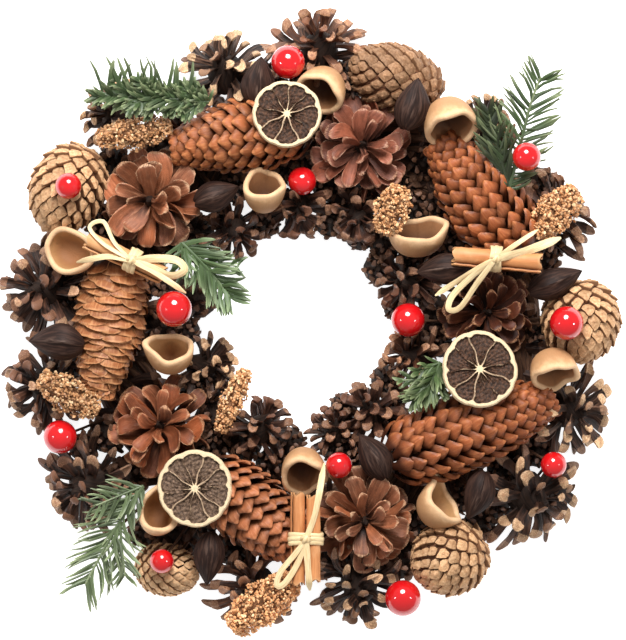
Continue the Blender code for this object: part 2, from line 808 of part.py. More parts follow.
def union(shapes, solver, merging):
    """Boolean union of a collection, without loose scraps."""
    pieces = bpy.data.collections.new("pieces")
    bpy.context.scene.collection.children.link(pieces)
    base = add_mesh_object("base", outward(shapes[0]))
    for shape in shapes[1:]:
        add_mesh_object("piece", outward(shape), pieces)
    join = base.modifiers.new("join", "BOOLEAN")
    join.operation = "UNION"
    join.operand_type = "COLLECTION"
    join.collection = pieces
    join.solver = solver
    bpy.context.view_layer.update()
    joined = bpy.data.meshes.new_from_object(base.evaluated_get(bpy.context.evaluated_depsgraph_get()))
    for thing in [base, *pieces.objects]:
        bpy.data.objects.remove(thing)
    bpy.data.collections.remove(pieces)
    return largest_body(joined, merging)


def add_spruce_cones(material):
    """Long cones lying on the ring."""
    for name, (x, y, heading, length, radius, rows) in SPRUCE_CONES.items():
        shape = shingled_cone(length * MM, radius * MM, rows)
        shape = moved(shape, lying(x * MM, y * MM, 0, heading))
        add_node(name, moved(shape, seated([shape])), material)


def stalk_to_ring(place, leave_out=()):
    """Stalk from inside a cone towards the ring's middle line, ending just clear of what it meets."""
    flat = Vector((place.x, place.y, 0)).normalized() * RING_RADIUS
    foot = Vector((flat.x, flat.y, RING_HEIGHT / 2))
    line = foot - place

    def make(length, gap):
        return twig(place, place + line.normalized() * (length + gap))

    return trimmed(make, line.length, 4 * MM, leave_out)


def add_sandy_cones(material):
    """Closed cones beside the ring, each on a stalk."""
    for name, (x, y, half_length, half_width, half_height, heading) in SANDY_CONES.items():
        place = Vector((x * MM, y * MM, half_height * MM + SANDY_RAISE))
        shape = tiled_cone(half_length * MM - 1.7 * MM, half_width * MM - 1.7 * MM, half_height * MM - 1.7 * MM)
        shape = moved(shape, lying(*place, heading))
        stalk = stalk_to_ring(place)
        add_node(name, fused([shape, stalk]), material)


def add_cup_pods(material):
    """Cups set among the cones."""
    for name, (x, y, z, half_length, half_width, depth, lean, heading) in CUP_PODS.items():
        shape = cup(half_length * MM, half_width * MM, depth * MM)
        shape = moved(shape, leaning(x * MM, y * MM, 0, lean, heading))
        add_node(name, settled(shape, (z - depth) * MM), material)


def middle_of(name):
    """Middle of an open cone or a dark pod."""
    x, y, z = (OPEN_CONES.get(name) or DARK_PODS.get(name))[:3]
    return Vector((x, y, z)) * MM


def open_cone_frame(name):
    """Frame of an open cone, at its foot and along its axis."""
    x, y, z, _, height, lean, heading = OPEN_CONES[name]
    return leaning(x * MM, y * MM, z * MM, lean, heading) @ Matrix.Translation((0, 0, -height * MM / 2))


def hold_of(name):
    """Where a stalk meets a cone or a pod: low on the cone's core, or in the pod's middle."""
    if name in OPEN_CONES:
        return open_cone_frame(name) @ Vector((0, 0, 2.5 * MM))
    return middle_of(name)


def cluster_frame(pairs):
    """What a cluster's scales grow from: cores, pods and the stalks between them."""
    members = list(dict.fromkeys(name for pair in pairs for name in pair))
    shapes = []
    for name in members:
        if name in DARK_PODS:
            _, _, _, heading, length, half_width = DARK_PODS[name]
            shapes.append(moved(pod(length * MM, half_width * MM), lying(*middle_of(name), heading)))
    for first, second in pairs:
        shapes.append(twig(hold_of(first), hold_of(second)))
    return members, shapes


def trimmed_cone(name, start, leave_out):
    """Open cone with each scale cut back where it would meet a neighbour."""
    _, _, _, radius, height, _, _ = OPEN_CONES[name]
    frame = open_cone_frame(name)

    def measure(place, full, half):
        def make(length, gap):
            return moved(tooth(length + gap, half * SIDE_MARGIN + gap, 1.2 * MM + gap), frame @ place)

        shortest = 0.12 * full
        reach = fitting_length(make, full, shortest, leave_out)
        return reach if reach == full else max(reach - TIP_MARGIN, shortest)

    return moved(open_cone(radius * MM, height * MM, name.split("_")[0], start, measure), frame)


def add_clusters(material):
    """Open cones and dark pods, fused by neighbourhood."""
    frames = {}
    for name, pairs in CLUSTERS.items():
        frames[name] = cluster_frame(pairs)
        PLACED[name] = tree_of(joined_shape(frames[name][1]))
    chance = random.Random(SEED)
    for name, (members, shapes) in frames.items():
        cones = [member for member in members if member in OPEN_CONES]
        for member in cones:
            if member.startswith("rosette") or not members[0].startswith("rosette"):
                shapes.append(stalk_to_ring(hold_of(member), (name,)))
        scaly = []
        for member in cones:
            scaly.append(trimmed_cone(member, chance.uniform(0, math.tau), (name,)))
            PLACED[member] = tree_of(scaly[-1])
        for member in cones:
            del PLACED[member]
        add_node(name, fused([shape for shape in scaly + shapes if shape]), material)


def add_catkins(material):
    """Lumpy catkins lying on the cones."""
    chance = random.Random(SEED + 1)
    for name, (x, y, heading, length, radius, rise) in CATKINS.items():
        shape = moved(catkin(length * MM, radius * MM, chance), lying(x * MM, y * MM, 0, heading, rise))
        add_node(name, settled(shape, LOWEST_CATKIN), material)


def stem_shapes(path, radius):
    """Straight stalks that join the points of a stem."""
    return [twig(path[k], path[k + 1], radius) for k in range(len(path) - 1)]


def add_fir_sprays(material):
    """Fir sprays: a slim stem with needles out to its tip, trimmed clear of the neighbours."""
    chance = random.Random(SEED + 2)
    for name, (route, count, length) in FIR_SPRAYS.items():
        flat = [Vector((x * MM, y * MM, 0)) for x, y in route]
        drop = seated(stem_shapes(flat, 1.4 * MM), LOWEST_STEM)
        path = [drop @ point for point in flat]
        shapes = stem_shapes(path, 1.3 * MM)
        shapes.append(stalk_to_neighbour(path[0].lerp(path[1], 0.1)))
        for k in range(count):
            share = (k + 0.8) / count
            leg = min(int(share * (len(path) - 1)), len(path) - 2)
            along = path[leg + 1] - path[leg]
            root = path[leg] + along * (share * (len(path) - 1) - leg)
            side = 1 if k % 2 else -1
            spread = math.radians(chance.uniform(35, 62)) * (1.15 - share * 0.75)
            turn = math.atan2(along.y, along.x) + side * spread
            place = lying(*root, math.degrees(turn), chance.uniform(-6, 32))

            def make(reach, gap, place=place):
                return moved(needle(reach + gap, NEEDLE_ROOT + 2 * gap), place)

            full = length * MM * chance.uniform(0.8, 1.0)
            shape = trimmed(make, full, 0.35 * full)
            if shape:
                shapes.append(shape)
        add_node(name, fused([shape for shape in shapes if shape]), material)


def add_lime_slices(material):
    """Dried slices lying on the cones."""
    for name, (x, y, radius, lean, heading) in LIME_SLICES.items():
        shape = moved(lime_slice(radius * MM), leaning(x * MM, y * MM, 0, lean, heading))
        add_node(name, moved(shape, seated([shape])), material)


def stick_shapes(length, half_width, sticks):
    """One quill along X, or two side by side that share a wall."""
    if sticks == 1:
        return quill(length, half_width, 90)
    shapes = []
    for side in (-1, 1):
        frame = Matrix.Translation((0, side * half_width * 0.9, 0))
        shapes.append(moved(quill(length * (1 - 0.03 * side), half_width, 90 - 60 * side), frame))
    return fused(shapes)


def draped(points, width):
    """Route of a ribbon laid over what is in place and pulled tight."""
    heights = []
    for point in points:
        beside = [(dx * width, dy * width) for dx in (-0.6, 0, 0.6) for dy in (-0.6, 0, 0.6)]
        below = max(top_at(point.x + dx, point.y + dy) for dx, dy in beside)
        heights.append(max(below + RIBBON_THICKNESS, points[0].z - RIBBON_FALL))
    for _ in range(12):
        for k in range(1, len(heights) - 1):
            heights[k] = max(heights[k], (heights[k - 1] + heights[k + 1]) / 2)
    return heights


def evenly_spaced(route, step):
    """Points along a smooth curve through a route, a step apart."""
    points = []
    for k in range(len(route) - 1):
        before = route[max(k - 1, 0)]
        start, end = route[k], route[k + 1]
        after = route[min(k + 2, len(route) - 1)]
        parts = max(1, round((end - start).length / step))
        for part in range(parts):
            t = part / parts
            a = 2 * start
            b = (end - before) * t
            c = (2 * before - 5 * start + 4 * end - after) * t * t
            d = (3 * start - before - 3 * end + after) * t**3
            points.append((a + b + c + d) / 2)
    return [*points, route[-1]]


def add_cinnamon(bark, raffia):
    """Sticks tied with a raffia bow: the band first goes down with its stick, then the ribbons are draped."""
    for name, (x, y, heading, length, half_width, sticks) in CINNAMON.items():
        stick = stick_shapes(length * MM, half_width * MM, sticks)
        offset, runs = RAFFIA[name]
        wide = max(abs(point.y) for point in stick[0])
        high = max(abs(point.z) for point in stick[0])
        tie = moved(band(wide, high, 6 * MM), Matrix.Translation((offset * MM, 0, 0)))
        frame = lying(x * MM, y * MM, 0, heading)
        drop = seated([moved(stick, frame), moved(tie, frame)])
        add_node(name, moved(stick, drop @ frame), bark)
        top = drop @ frame @ Vector((offset * MM, 0, high + CLEARANCE + KNOT_RADIUS))
        knot = moved(ball(KNOT_RADIUS, 1), Matrix.Translation(top))
        shapes = [moved(tie, drop @ frame), knot]
        for k, run in enumerate(runs):
            route = evenly_spaced([Vector((dx, dy, 0)) * MM + top for dx, dy in run], RIBBON_STEP)
            looped = run[0] == run[-1]
            for point, height in zip(route, draped(route, RIBBON_WIDTH)):
                point.z = height
            leave_knot(route, 0, 1, top.z + (0.7 * k - 1.2) * MM)
            if looped:
                leave_knot(route, -1, -2, top.z + (0.7 * k - 0.8) * MM)
            shapes.append(lifted_ribbon(route, looped))
        add_node("raffia_" + name.split("_")[1], fused(shapes), raffia)


def leave_knot(route, end, following, height):
    """Start or end a ribbon inside the knot, at a height of its own, off the knot's middle."""
    route[end].z = height
    away = route[following] - route[end]
    route[end] = route[end] + away * (0.5 * KNOT_RADIUS / away.length)


def lifted_ribbon(route, looped):
    """Ribbon along a route, its free stretch raised bit by bit until it is clear."""
    for _ in range(24):
        if is_clear(ribbon(route, RIBBON_WIDTH + 2 * CLEARANCE, RIBBON_THICKNESS + 2 * CLEARANCE)):
            break
        for point in route[1 : -1 if looped else None]:
            point.z += 0.4 * MM
    return ribbon(route, RIBBON_WIDTH, RIBBON_THICKNESS)


def add_berries(material):
    """Berries resting on the cones."""
    for name, (x, y, radius) in BERRIES.items():
        shape = moved(ball(radius * MM), Matrix.Translation((x * MM, y * MM, 0)))
        add_node(name, settled(shape, LOWEST_BERRY), material)


def main():
    clear_scene()
    add_node("vine_ring", vine_ring(), finish_for("vine"))
    add_spruce_cones(finish_for("spruce"))
    add_sandy_cones(finish_for("tan_cone"))
    add_cup_pods(finish_for("cup"))
    add_clusters(finish_for("cone"))
    add_catkins(finish_for("catkin"))
    add_fir_sprays(finish_for("needle"))
    add_lime_slices(finish_for("lime"))
    add_cinnamon(finish_for("cinnamon"), finish_for("raffia"))
    add_berries(finish_for("berry"))


main()
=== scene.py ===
"""Looks of a pinecone wreath: cones, pods, cups, limes, cinnamon, fir and berries on a ring of vine.

Lengths are in millimetres and angles in degrees, apart from what is handed to Blender in metres.
The picture is looked at straight from above, and its middle is the wreath's own middle.
"""
import math
from collections import namedtuple
from itertools import combinations

import bpy
import numpy as np
from mathutils import Matrix, Vector
from mathutils.bvhtree import BVHTree


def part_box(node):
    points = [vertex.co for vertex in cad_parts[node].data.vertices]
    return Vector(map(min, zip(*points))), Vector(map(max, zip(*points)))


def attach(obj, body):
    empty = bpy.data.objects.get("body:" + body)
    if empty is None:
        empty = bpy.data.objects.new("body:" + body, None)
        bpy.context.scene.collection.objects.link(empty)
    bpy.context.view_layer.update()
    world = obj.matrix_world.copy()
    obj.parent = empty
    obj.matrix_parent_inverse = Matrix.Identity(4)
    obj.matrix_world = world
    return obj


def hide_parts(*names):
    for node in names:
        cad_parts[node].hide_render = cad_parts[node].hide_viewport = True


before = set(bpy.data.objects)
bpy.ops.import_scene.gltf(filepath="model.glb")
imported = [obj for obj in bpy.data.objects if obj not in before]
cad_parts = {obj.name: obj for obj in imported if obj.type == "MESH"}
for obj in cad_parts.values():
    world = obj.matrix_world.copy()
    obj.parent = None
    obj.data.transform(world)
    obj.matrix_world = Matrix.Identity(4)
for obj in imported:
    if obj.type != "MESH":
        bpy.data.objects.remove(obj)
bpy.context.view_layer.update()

MM = 0.001
BODY = "root"
GOLDEN = math.pi * (3 - math.sqrt(5))
UP = np.array([0.0, 0.0, 1.0])
AHEAD = np.array([1.0, 0.0, 0.0])
SEED = 4100

# The view: the picture's height in pixels, and what one of them shows at a height above the floor
PICTURE_HEIGHT = 640
PIXEL = 0.52
PIXEL_HEIGHT = 38
VIEW_HEIGHT = 2400
SENSOR = 36

# Edges between faces that meet at more than this stay sharp
SHARP_ANGLE = 38

# Driving sizes shared with the solids
RING_RADIUS = 103
RING_HALF_WIDTH = 17
RING_HEIGHT = 14
SANDY_RAISE = 7
EXTRA_LEAN = 10
TILE_TILT = 0.42
CUP_WALL = 2.9
LIME_THICKNESS = 3.6
LIME_RAISE = 1.2
KNOT_RADIUS = 2.8
KNOT_GAP = 0.3

# Sizes of finer parts, and the second stick's place against its half width
TILE_RISE = 1.5
WIDEST_TILE = 5.5
CELL_SHARPNESS = 14.0
EGG_INSET = 0.97
STICK_SHIFT = 0.92
BAND_BREADTH = 6
BAND_STRANDS = 3
RIBBON_DROP = 8
RIBBON_FLATNESS = 0.16
SMOOTH_ROUNDS = 60
POD_STALK = 1.6
SPRAY_WIRE = 0.8
BERRY_WIRE = 0.7
NEEDLE_THICKNESS = 0.8
HIDDEN_FOOT = 5
HIDDEN_HEIGHT = 20
STALK_BEND = np.array([1.2, -0.8, 1.0])
GRAINS_PER_AREA = 4.2
UPRIGHT = np.array(Matrix.Rotation(math.radians(-90), 4, "Y"))

# Where parts meet: scales bend flat above the floor, needles stop and ribbons lie a little off a piece
BEND_BELOW = 8
BEND_SHARPNESS = 1.5
CEILING = 120
NEEDLE_CLEAR = 1.5
NEEDLE_GAP = 0.6
RIBBON_GAP = 0.7

# Light and floor, in metres: direction, size and power of each lamp
LAMPS = {
    "key": ((0, 0.66, 0.77), 0.6, 21),
    "left_lamp": ((-0.76, -0.05, 0.645), 0.08, 1.6),
    "right_lamp": ((0.76, -0.05, 0.645), 0.08, 1.6),
}
LAMP_DISTANCE = 1.2
WHITE = (1, 1, 1, 1)
FLOOR_WHITE = (0.85, 0.85, 0.85, 1)
FLOOR_GLOW = 0.85
FLOOR_HALF = 2.0
FLOOR_ROUGHNESS = 0.9
SKY = 0.4

# x, y, heading of the tip, length, radius, style
SPRUCE_CONES = {
    "spruce_cone_top_left": (-42, 95, 190, 64, 18.5, "kite"),
    "spruce_cone_top_right": (86, 66, 126, 68, 20, "almond"),
    "spruce_cone_left": (-107, -7, 261, 66, 18, "wavy"),
    "spruce_cone_right": (87, -55, 21, 82, 19.5, "almond"),
    "spruce_cone_bottom": (-27, -103, 321, 62, 19, "lens"),
}

# x, y, half length, half width, half height, heading, how pointed the tiles are, heading of the side where
# they gape, finish
SANDY_CONES = {
    "sandy_cone_top_left": (-128, 69, 25, 20, 21, 64, 0.55, -40, "tile"),
    "sandy_cone_top": (44, 126, 26.5, 18.5, 19, -20, 0.3, 215, "tile_brown"),
    "sandy_cone_right": (140, 0, 22.5, 21, 21, 90, 0.5, 175, "tile"),
    "sandy_cone_bottom_right": (72, -124, 21.5, 20, 20, 30, 0.4, 150, "tile"),
    "sandy_cone_bottom_left": (-77, -131, 18, 14, 15, 170, 0.4, 80, "tile_pale"),
}

# x, y, z of the middle, radius, height, lean, heading
OPEN_CONES = {
    "rosette_1": (-85, 62, 36, 27.5, 30, 8, 200),
    "rosette_2": (26, 91, 36, 26.5, 30, 10, 60),
    "rosette_3": (-80, -55, 36, 26.5, 30, 10, 130),
    "rosette_4": (27, -105, 36, 27.5, 30, 8, 300),
    "rosette_5": (91, 4, 35, 25.5, 28, 10, 0),
    "outer_1": (-48, 134, 24, 26.5, 30, 30, 120),
    "outer_2": (3.5, 147, 24, 25.5, 30, 30, 90),
    "outer_3": (-106, 109, 22, 21, 28, 30, 135),
    "outer_4": (-144, 16, 24, 28, 30, 25, 180),
    "outer_5": (-144, -35, 23, 26, 28, 25, 190),
    "outer_6": (-122, -88, 24, 28, 30, 30, 215),
    "outer_7": (-31, -144, 24, 25.5, 30, 25, 265),
    "outer_8": (25.5, -144, 24, 24.5, 30, 30, 280),
    "outer_9": (118, -94, 24, 29, 30, 30, 330),
    "outer_10": (138, -48, 24, 26.5, 30, 30, 345),
    "outer_11": (128, 59, 22, 26, 28, 35, 50),
    "outer_12": (91, 105, 22, 18, 28, 35, 50),
    "inner_1": (-39.5, 44.5, 24, 19, 26, 30, 300),
    "inner_2": (-7, 56, 24, 20, 26, 35, 280),
    "inner_3": (23, 53, 24, 19, 26, 30, 250),
    "inner_4": (45.5, 19, 24, 20, 26, 30, 200),
    "inner_5": (49, -19, 24, 18.5, 26, 30, 170),
    "inner_6": (29, -45, 24, 20, 26, 30, 130),
    "inner_7": (12, -55, 22, 16, 22, 35, 90),
    "inner_8": (-25, -53, 23, 19.5, 26, 35, 60),
    "inner_9": (-53.5, -23, 24, 19, 28, 25, 20),
}

# Finishes by the sort of cone, those that differ, and the finishes of the dark bars below the facets
KIND_FINISH = {"rosette": "rosette", "outer": "dark", "inner": "inner"}
OWN_FINISH = {
    "rosette_2": "rosette_pink", "rosette_3": "rosette_red", "rosette_5": "rosette_dark",
    "outer_2": "brown", "outer_7": "brown", "outer_4": "few", "outer_5": "few", "outer_6": "few",
    "outer_11": "few", "outer_1": "pale", "outer_10": "pale", "inner_9": "dark", "inner_5": "brown",
}
BAR_FINISH = {
    "dark": "dark_bar", "few": "dark_bar", "pale": "dark_bar", "brown": "brown_bar", "inner": "inner_bar",
}
BROAD_ROSETTES = ("rosette_1", "rosette_3")

# x, y, z of the middle, heading of the point, length, half width
DARK_PODS = {
    "pod_1": (51, 112, 47, 75, 27, 9),
    "pod_2": (67, 26, 49, 185, 26, 8),
    "pod_3": (126, 20, 40, 22, 29, 8),
    "pod_4": (85, -91, 38, 250, 26, 8),
    "pod_5": (31, -71, 40, 120, 26, 8.5),
    "pod_6": (-54, -124, 38, 265, 27, 8),
    "pod_7": (-133, -12, 44, 175, 28, 9.5),
    "pod_8": (-50, 65, 42, 20, 24, 8),
    "pod_9": (-28, 123.5, 40, 85, 26, 9),
}

CLUSTERS = {
    "cone_cluster_top_left": ("rosette_1", "outer_3", "inner_1", "pod_8"),
    "cone_cluster_top_right": ("rosette_2", "inner_2", "inner_3", "outer_12", "pod_1"),
    "cone_cluster_right": ("rosette_5", "outer_11", "pod_3", "inner_4", "pod_2", "inner_5"),
    "cone_cluster_bottom": (
        "rosette_4", "inner_6", "pod_5", "inner_7", "outer_8", "outer_7", "pod_6", "outer_9", "pod_4",
        "outer_10",
    ),
    "cone_cluster_bottom_left": ("rosette_3", "outer_6", "inner_9", "inner_8"),
    "cone_cluster_top": ("outer_1", "pod_9", "outer_2"),
    "cone_cluster_left": ("outer_4", "pod_7", "outer_5"),
}

# x, y, half length, half width, depth, lean, heading, angle of the pinched point, its share of the size,
# finish
CUP_PODS = {
    "cup_pod_1": (-25, 71.5, 12.5, 11, 17, 50, 85, 130, 0.10, "brown_cup"),
    "cup_pod_2": (2.5, 116, 14, 13, 17, 50, 240, 0, 0.06, "brown_cup"),
    "cup_pod_3": (72, 98, 15, 14, 18, 58, 285, 190, 0.20, "brown_cup"),
    "cup_pod_4": (54, 47.5, 12, 15, 15, 58, 95, 280, 0.16, "brown_cup"),
    "cup_pod_5": (-127, 36, 14, 12, 12, 15, 150, 200, 0.08, "cup"),
    "cup_pod_6": (-74, -13.5, 11.5, 12.5, 16, 48, 85, 95, 0.16, "cup"),
    "cup_pod_7": (-80, -98, 13.5, 10.5, 17, 20, 80, 250, 0.12, "cup"),
    "cup_pod_8": (-4.5, -82.5, 15, 12, 16, 50, 275, 180, 0.03, "brown_cup"),
    "cup_pod_9": (69, -94.5, 12, 12.5, 16, 64, 35, 70, 0.30, "cup"),
    "cup_pod_10": (125.5, -30, 12, 12.5, 16, 60, 285, 60, 0.14, "brown_cup"),
}

# x, y, heading, length, radius, finish
CATKINS = {
    "catkin_1": (-93, 97, 9, 40, 7.3, "brown_catkin"),
    "catkin_2": (41, 57, 252, 27, 8.3, "catkin"),
    "catkin_3": (126, 56, 228, 33, 9, "catkin"),
    "catkin_4": (-127, -39, 330, 36, 8.2, "brown_catkin"),
    "catkin_5": (-42, -42, 247, 36, 5.5, "catkin"),
    "catkin_6": (-26, -147, 218, 43, 10, "pale_catkin"),
}

# x, y, radius, lean, heading, number of wedges, angle of the first membrane, finish
LIME_SLICES = {
    "lime_slice_top": (-13.5, 106.5, 17.7, 5, 100, 9, 8, "lime"),
    "lime_slice_right": (86, -25.5, 19.8, 6, 60, 9, 20, "lime"),
    "lime_slice_left": (-61, -87, 19.8, 5, 200, 10, 4, "pale_lime"),
}

# x, y, heading, length, half width, number of sticks, finish
CINNAMON = {
    "left": (-97, 32.5, 335, 43, 5.4, 1, "pale_cinnamon"),
    "right": (95, 31.5, 355, 45, 5.6, 1, "cinnamon"),
    "bottom": (-3.7, -113, 270, 45, 4.2, 2, "cinnamon"),
}

# Offset of the band along its stick, then each ribbon: half width, and its route from the knot
RAFFIA = {
    "left": (4, [
        (1.6, [(0, 0), (-13, 2), (-29, -1)]),
        (1.1, [(0, 0), (-9, 9), (-15, 20), (-22, 17), (-14, 8), (0, 0)]),
        (2.1, [(0, 0), (12, 1), (23, 0), (27, -5), (20, -8), (10, -4), (0, 0)]),
        (1.5, [(0, 0), (13, -7), (28, -17)]),
    ]),
    "right": (-1, [
        (2.3, [(0, 0), (16, 4), (34, 11)]),
        (1.3, [(0, 0), (10, 7), (22, 15)]),
        (1.5, [(0, 0), (-14, -8), (-31, -19)]),
        (1.6, [(0, 0), (-9, -12), (-18, -25), (-24, -26), (-22, -19), (-12, -9), (0, 0)]),
    ]),
    "bottom": (0, [
        (1.7, [(0, 0), (5, 14), (9.5, 39)]),
        (1.6, [(0, 0), (-4, -12), (-11, -23), (-15, -24), (-13, -17), (-5, -7), (0, 0)]),
        (1.8, [(0, 0), (1, -13), (2, -27)]),
    ]),
}

# Route of the stem, number and length of its needles, side twigs, needles on each twig, their share of the
# length, finish, spread of the needles sideways and upwards, shares of the length at the start on the left
# and right, tall needles
Spray = namedtuple("Spray", "route needles length twigs on_twig twig_share finish spread rises starts tall")
FIR_SPRAYS = {
    "fir_spray_top_left": Spray(
        [(-54, 113), (-82, 115), (-112, 116)],
        120, 16, 9, 18, 0.8, "deep_green", (20, 66), (-10, 50), (0.4, 0.4), 18,
    ),
    "fir_spray_top_right": Spray(
        [(101.4, 67.6), (108, 93), (112.8, 112), (118, 126)],
        64, 27, 0, 0, 0.8, "deep_green", (46, 62), (0, 14), (1.0, 0.5), 0,
    ),
    "fir_spray_top_right_foot": Spray(
        [(102, 66), (98, 82), (93, 98), (91, 108)],
        60, 21, 0, 0, 0.8, "dark_green", (16, 44), (-4, 30), (1.0, 1.0), 0,
    ),
    "fir_spray_left": Spray(
        [(-68, 40), (-55, 27), (-43, 12)],
        68, 23, 2, 8, 0.85, "green", (28, 60), (-12, 30), (0.8, 0.8), 0,
    ),
    "fir_spray_right": Spray(
        [(66, -22), (62, -31), (54, -40)],
        70, 19, 3, 12, 0.8, "olive", (10, 48), (-10, 50), (0.6, 0.6), 0,
    ),
    "fir_spray_bottom_left": Spray(
        [(-88, -86), (-98, -101), (-110, -122), (-118, -137)],
        66, 29, 2, 20, 0.9, "pale_green", (34, 50), (-2, 16), (0.2, 1.0), 0,
    ),
}
STEM_HEIGHT = 45.7
SHORTEST_TWIG = 4
LONG_NEEDLE = 25

# x, y, radius
BERRIES = {
    "berry_1": (-13, 134, 8.8),
    "berry_2": (-5.7, 72.3, 7.4),
    "berry_3": (-126.4, 69.2, 6.8),
    "berry_4": (-71.8, 5.7, 9.3),
    "berry_5": (49.4, 0, 8.8),
    "berry_6": (131, -1.6, 8.8),
    "berry_7": (110.2, 84.2, 7.4),
    "berry_8": (-131.6, -60.8, 8.8),
    "berry_9": (-78.5, -125.3, 6.3),
    "berry_10": (13.5, -75.4, 6.8),
    "berry_11": (125.3, -75.4, 6.8),
    "berry_12": (46.8, -144.8, 9.4),
}

# Outlines of blades, row by row: share of the length, of the half width, and levels of top and underside
TONGUE = (
    (0.0, 0.42, 0.5, -0.5), (0.2, 0.52, 0.5, -0.5), (0.42, 0.72, 0.5, -0.6), (0.62, 0.90, 0.6, -0.7),
    (0.77, 1.0, 0.75, -0.8), (0.87, 0.98, 0.8, -0.9), (0.94, 0.84, 0.55, -1.0), (0.98, 0.58, 0.1, -1.1),
    (1.0, 0.3, -0.4, -1.1),
)
WEDGE = (
    (0.0, 0.60, 0.3, -0.35), (0.3, 0.64, 0.3, -0.4), (0.55, 0.72, 0.35, -0.5), (0.68, 0.84, 0.6, -0.7),
    (0.78, 0.97, 1.0, -0.9), (0.87, 1.0, 0.85, -1.05), (0.94, 0.9, 0.4, -1.2), (0.98, 0.68, -0.25, -1.2),
    (1.0, 0.34, -0.9, -1.1),
)
SHORT_WEDGE = (
    (0.0, 0.62, 0.3, -0.4), (0.66, 0.84, 0.55, -0.6), (0.84, 1.0, 0.9, -1.0), (0.97, 0.7, -0.1, -1.2),
    (1.0, 0.3, -0.8, -1.1),
)
BAR = (
    (0.0, 0.70, 0.4, -0.4), (0.3, 0.78, 0.4, -0.45), (0.55, 0.88, 0.5, -0.5), (0.72, 1.0, 0.75, -0.6),
    (0.84, 0.96, 0.9, -0.8), (0.92, 0.74, 0.6, -0.9), (0.97, 0.5, 0.2, -0.9), (1.0, 0.22, -0.2, -0.6),
)
ALMOND = (
    (0.0, 0.45, 0.3, -0.5), (0.35, 0.6, 0.5, -0.5), (0.52, 0.88, 0.75, -0.6), (0.63, 1.0, 0.9, -0.7),
    (0.75, 0.82, 1.1, -0.8), (0.86, 0.54, 1.0, -0.9), (0.95, 0.26, 0.5, -1.0), (1.0, 0.08, -0.2, -1.0),
)
WAVY = (
    (0.0, 0.6, 0.6, -0.6), (0.35, 0.8, 0.8, -0.7), (0.6, 1.0, 0.9, -0.8), (0.78, 0.97, 0.8, -0.8),
    (0.9, 0.78, 0.6, -0.7), (0.97, 0.5, 0.3, -0.6), (1.0, 0.24, 0.0, -0.4),
)
NEEDLE = (
    (0.0, 0.6, 0.6, -0.6), (0.3, 1.0, 1.0, -1.0), (0.7, 0.9, 0.9, -0.9), (0.93, 0.5, 0.5, -0.5),
    (1.0, 0.1, 0.1, -0.1),
)

# Rows of a tile: share of its reach, height, how far it is out of the groove, how far on its middle knob
TILE_ROWS = (
    (0.92, -2.6, 0, 0), (0.98, -0.7, 0.45, 0), (0.94, 0.1, 0.92, 0), (0.6, 0.5, 1, 0), (0.28, 0.62, 1, 0.3),
    (0.14, 1.1, 1, 1),
)

# Rows of a lime slice across its rind, as shares of the radius
RIND_ROWS = (0.865, 0.885, 0.905, 0.925, 0.945, 0.965, 0.985, 1.0)

# Cross-sections of blades, once round: share of the half width, and level from underside to top
OVAL = tuple((math.cos(math.tau * k / 10), math.sin(math.tau * k / 10)) for k in range(10))
DIAMOND = ((1, 0), (0, 1), (-1, 0), (0, -1))
TROUGH = (
    (1, 0.1), (0.86, 0.9), (0.5, 0.3), (0, 0.0), (-0.5, 0.3), (-0.86, 0.9), (-1, 0.1), (-0.6, -0.8), (0, -1),
    (0.6, -0.8),
)
RIDGED = (
    (1, 0), (0.8, 0.35), (0.36, 0.5), (0, 1.1), (-0.36, 0.5), (-0.8, 0.35), (-1, 0), (-0.6, -0.8), (0, -1),
    (0.6, -0.8),
)

Surface = namedtuple("Surface", "points quads tris look grain")
Tier = namedtuple("Tier", "scales reach rise foot half_width")
ConeStyle = namedtuple("ConeStyle", "bars tiers thickness profile cupping roll sway skip")
CONE_STYLES = {
    "rosette": ConeStyle(
        (),
        (
            Tier(13, 1.13, 0.14, 0.06, 0.20), Tier(11, 1.05, 0.38, 0.18, 0.195),
            Tier(9, 0.92, 0.60, 0.32, 0.18), Tier(7, 0.72, 0.82, 0.44, 0.15),
            Tier(4, 0.44, 0.99, 0.54, 0.115),
        ),
        2.8, TONGUE, 0.26, 0.72, 0.09, 1,
    ),
    "broad_rosette": ConeStyle(
        (),
        (
            Tier(12, 1.13, 0.14, 0.06, 0.225), Tier(9, 1.05, 0.38, 0.18, 0.235),
            Tier(7, 0.92, 0.60, 0.32, 0.215), Tier(5, 0.70, 0.82, 0.44, 0.17),
            Tier(3, 0.40, 0.99, 0.54, 0.125),
        ),
        2.8, TONGUE, 0.22, 0.8, 0.09, 1,
    ),
    "outer": ConeStyle(
        (Tier(8, 1.20, 0.06, 0.06, 0.105), Tier(9, 1.20, 0.24, 0.16, 0.11)),
        (
            Tier(8, 1.00, 0.46, 0.28, 0.118), Tier(6, 0.82, 0.68, 0.38, 0.125),
            Tier(5, 0.56, 0.86, 0.48, 0.12), Tier(3, 0.30, 1.0, 0.6, 0.105),
        ),
        3.8, WEDGE, 0.04, 0.5, 0.10, 1,
    ),
    "inner": ConeStyle(
        (Tier(8, 1.14, 0.12, 0.10, 0.13), Tier(7, 1.12, 0.34, 0.20, 0.135)),
        (Tier(7, 0.88, 0.60, 0.34, 0.16), Tier(5, 0.62, 0.84, 0.50, 0.15), Tier(3, 0.32, 1.0, 0.6, 0.13)),
        3.6, WEDGE, 0.04, 0.5, 0.10, 1,
    ),
    "hidden": ConeStyle(
        (),
        (Tier(9, 1.05, 0.25, 0.10, 0.17), Tier(8, 0.9, 0.6, 0.3, 0.17), Tier(5, 0.5, 0.95, 0.5, 0.15)),
        3.4, SHORT_WEDGE, 0.04, 0.6, 0.12, 2,
    ),
}
PLATE_VALUES = "step turn length half_width thickness profile root lift ripple bend slant"
PlateStyle = namedtuple("PlateStyle", PLATE_VALUES)
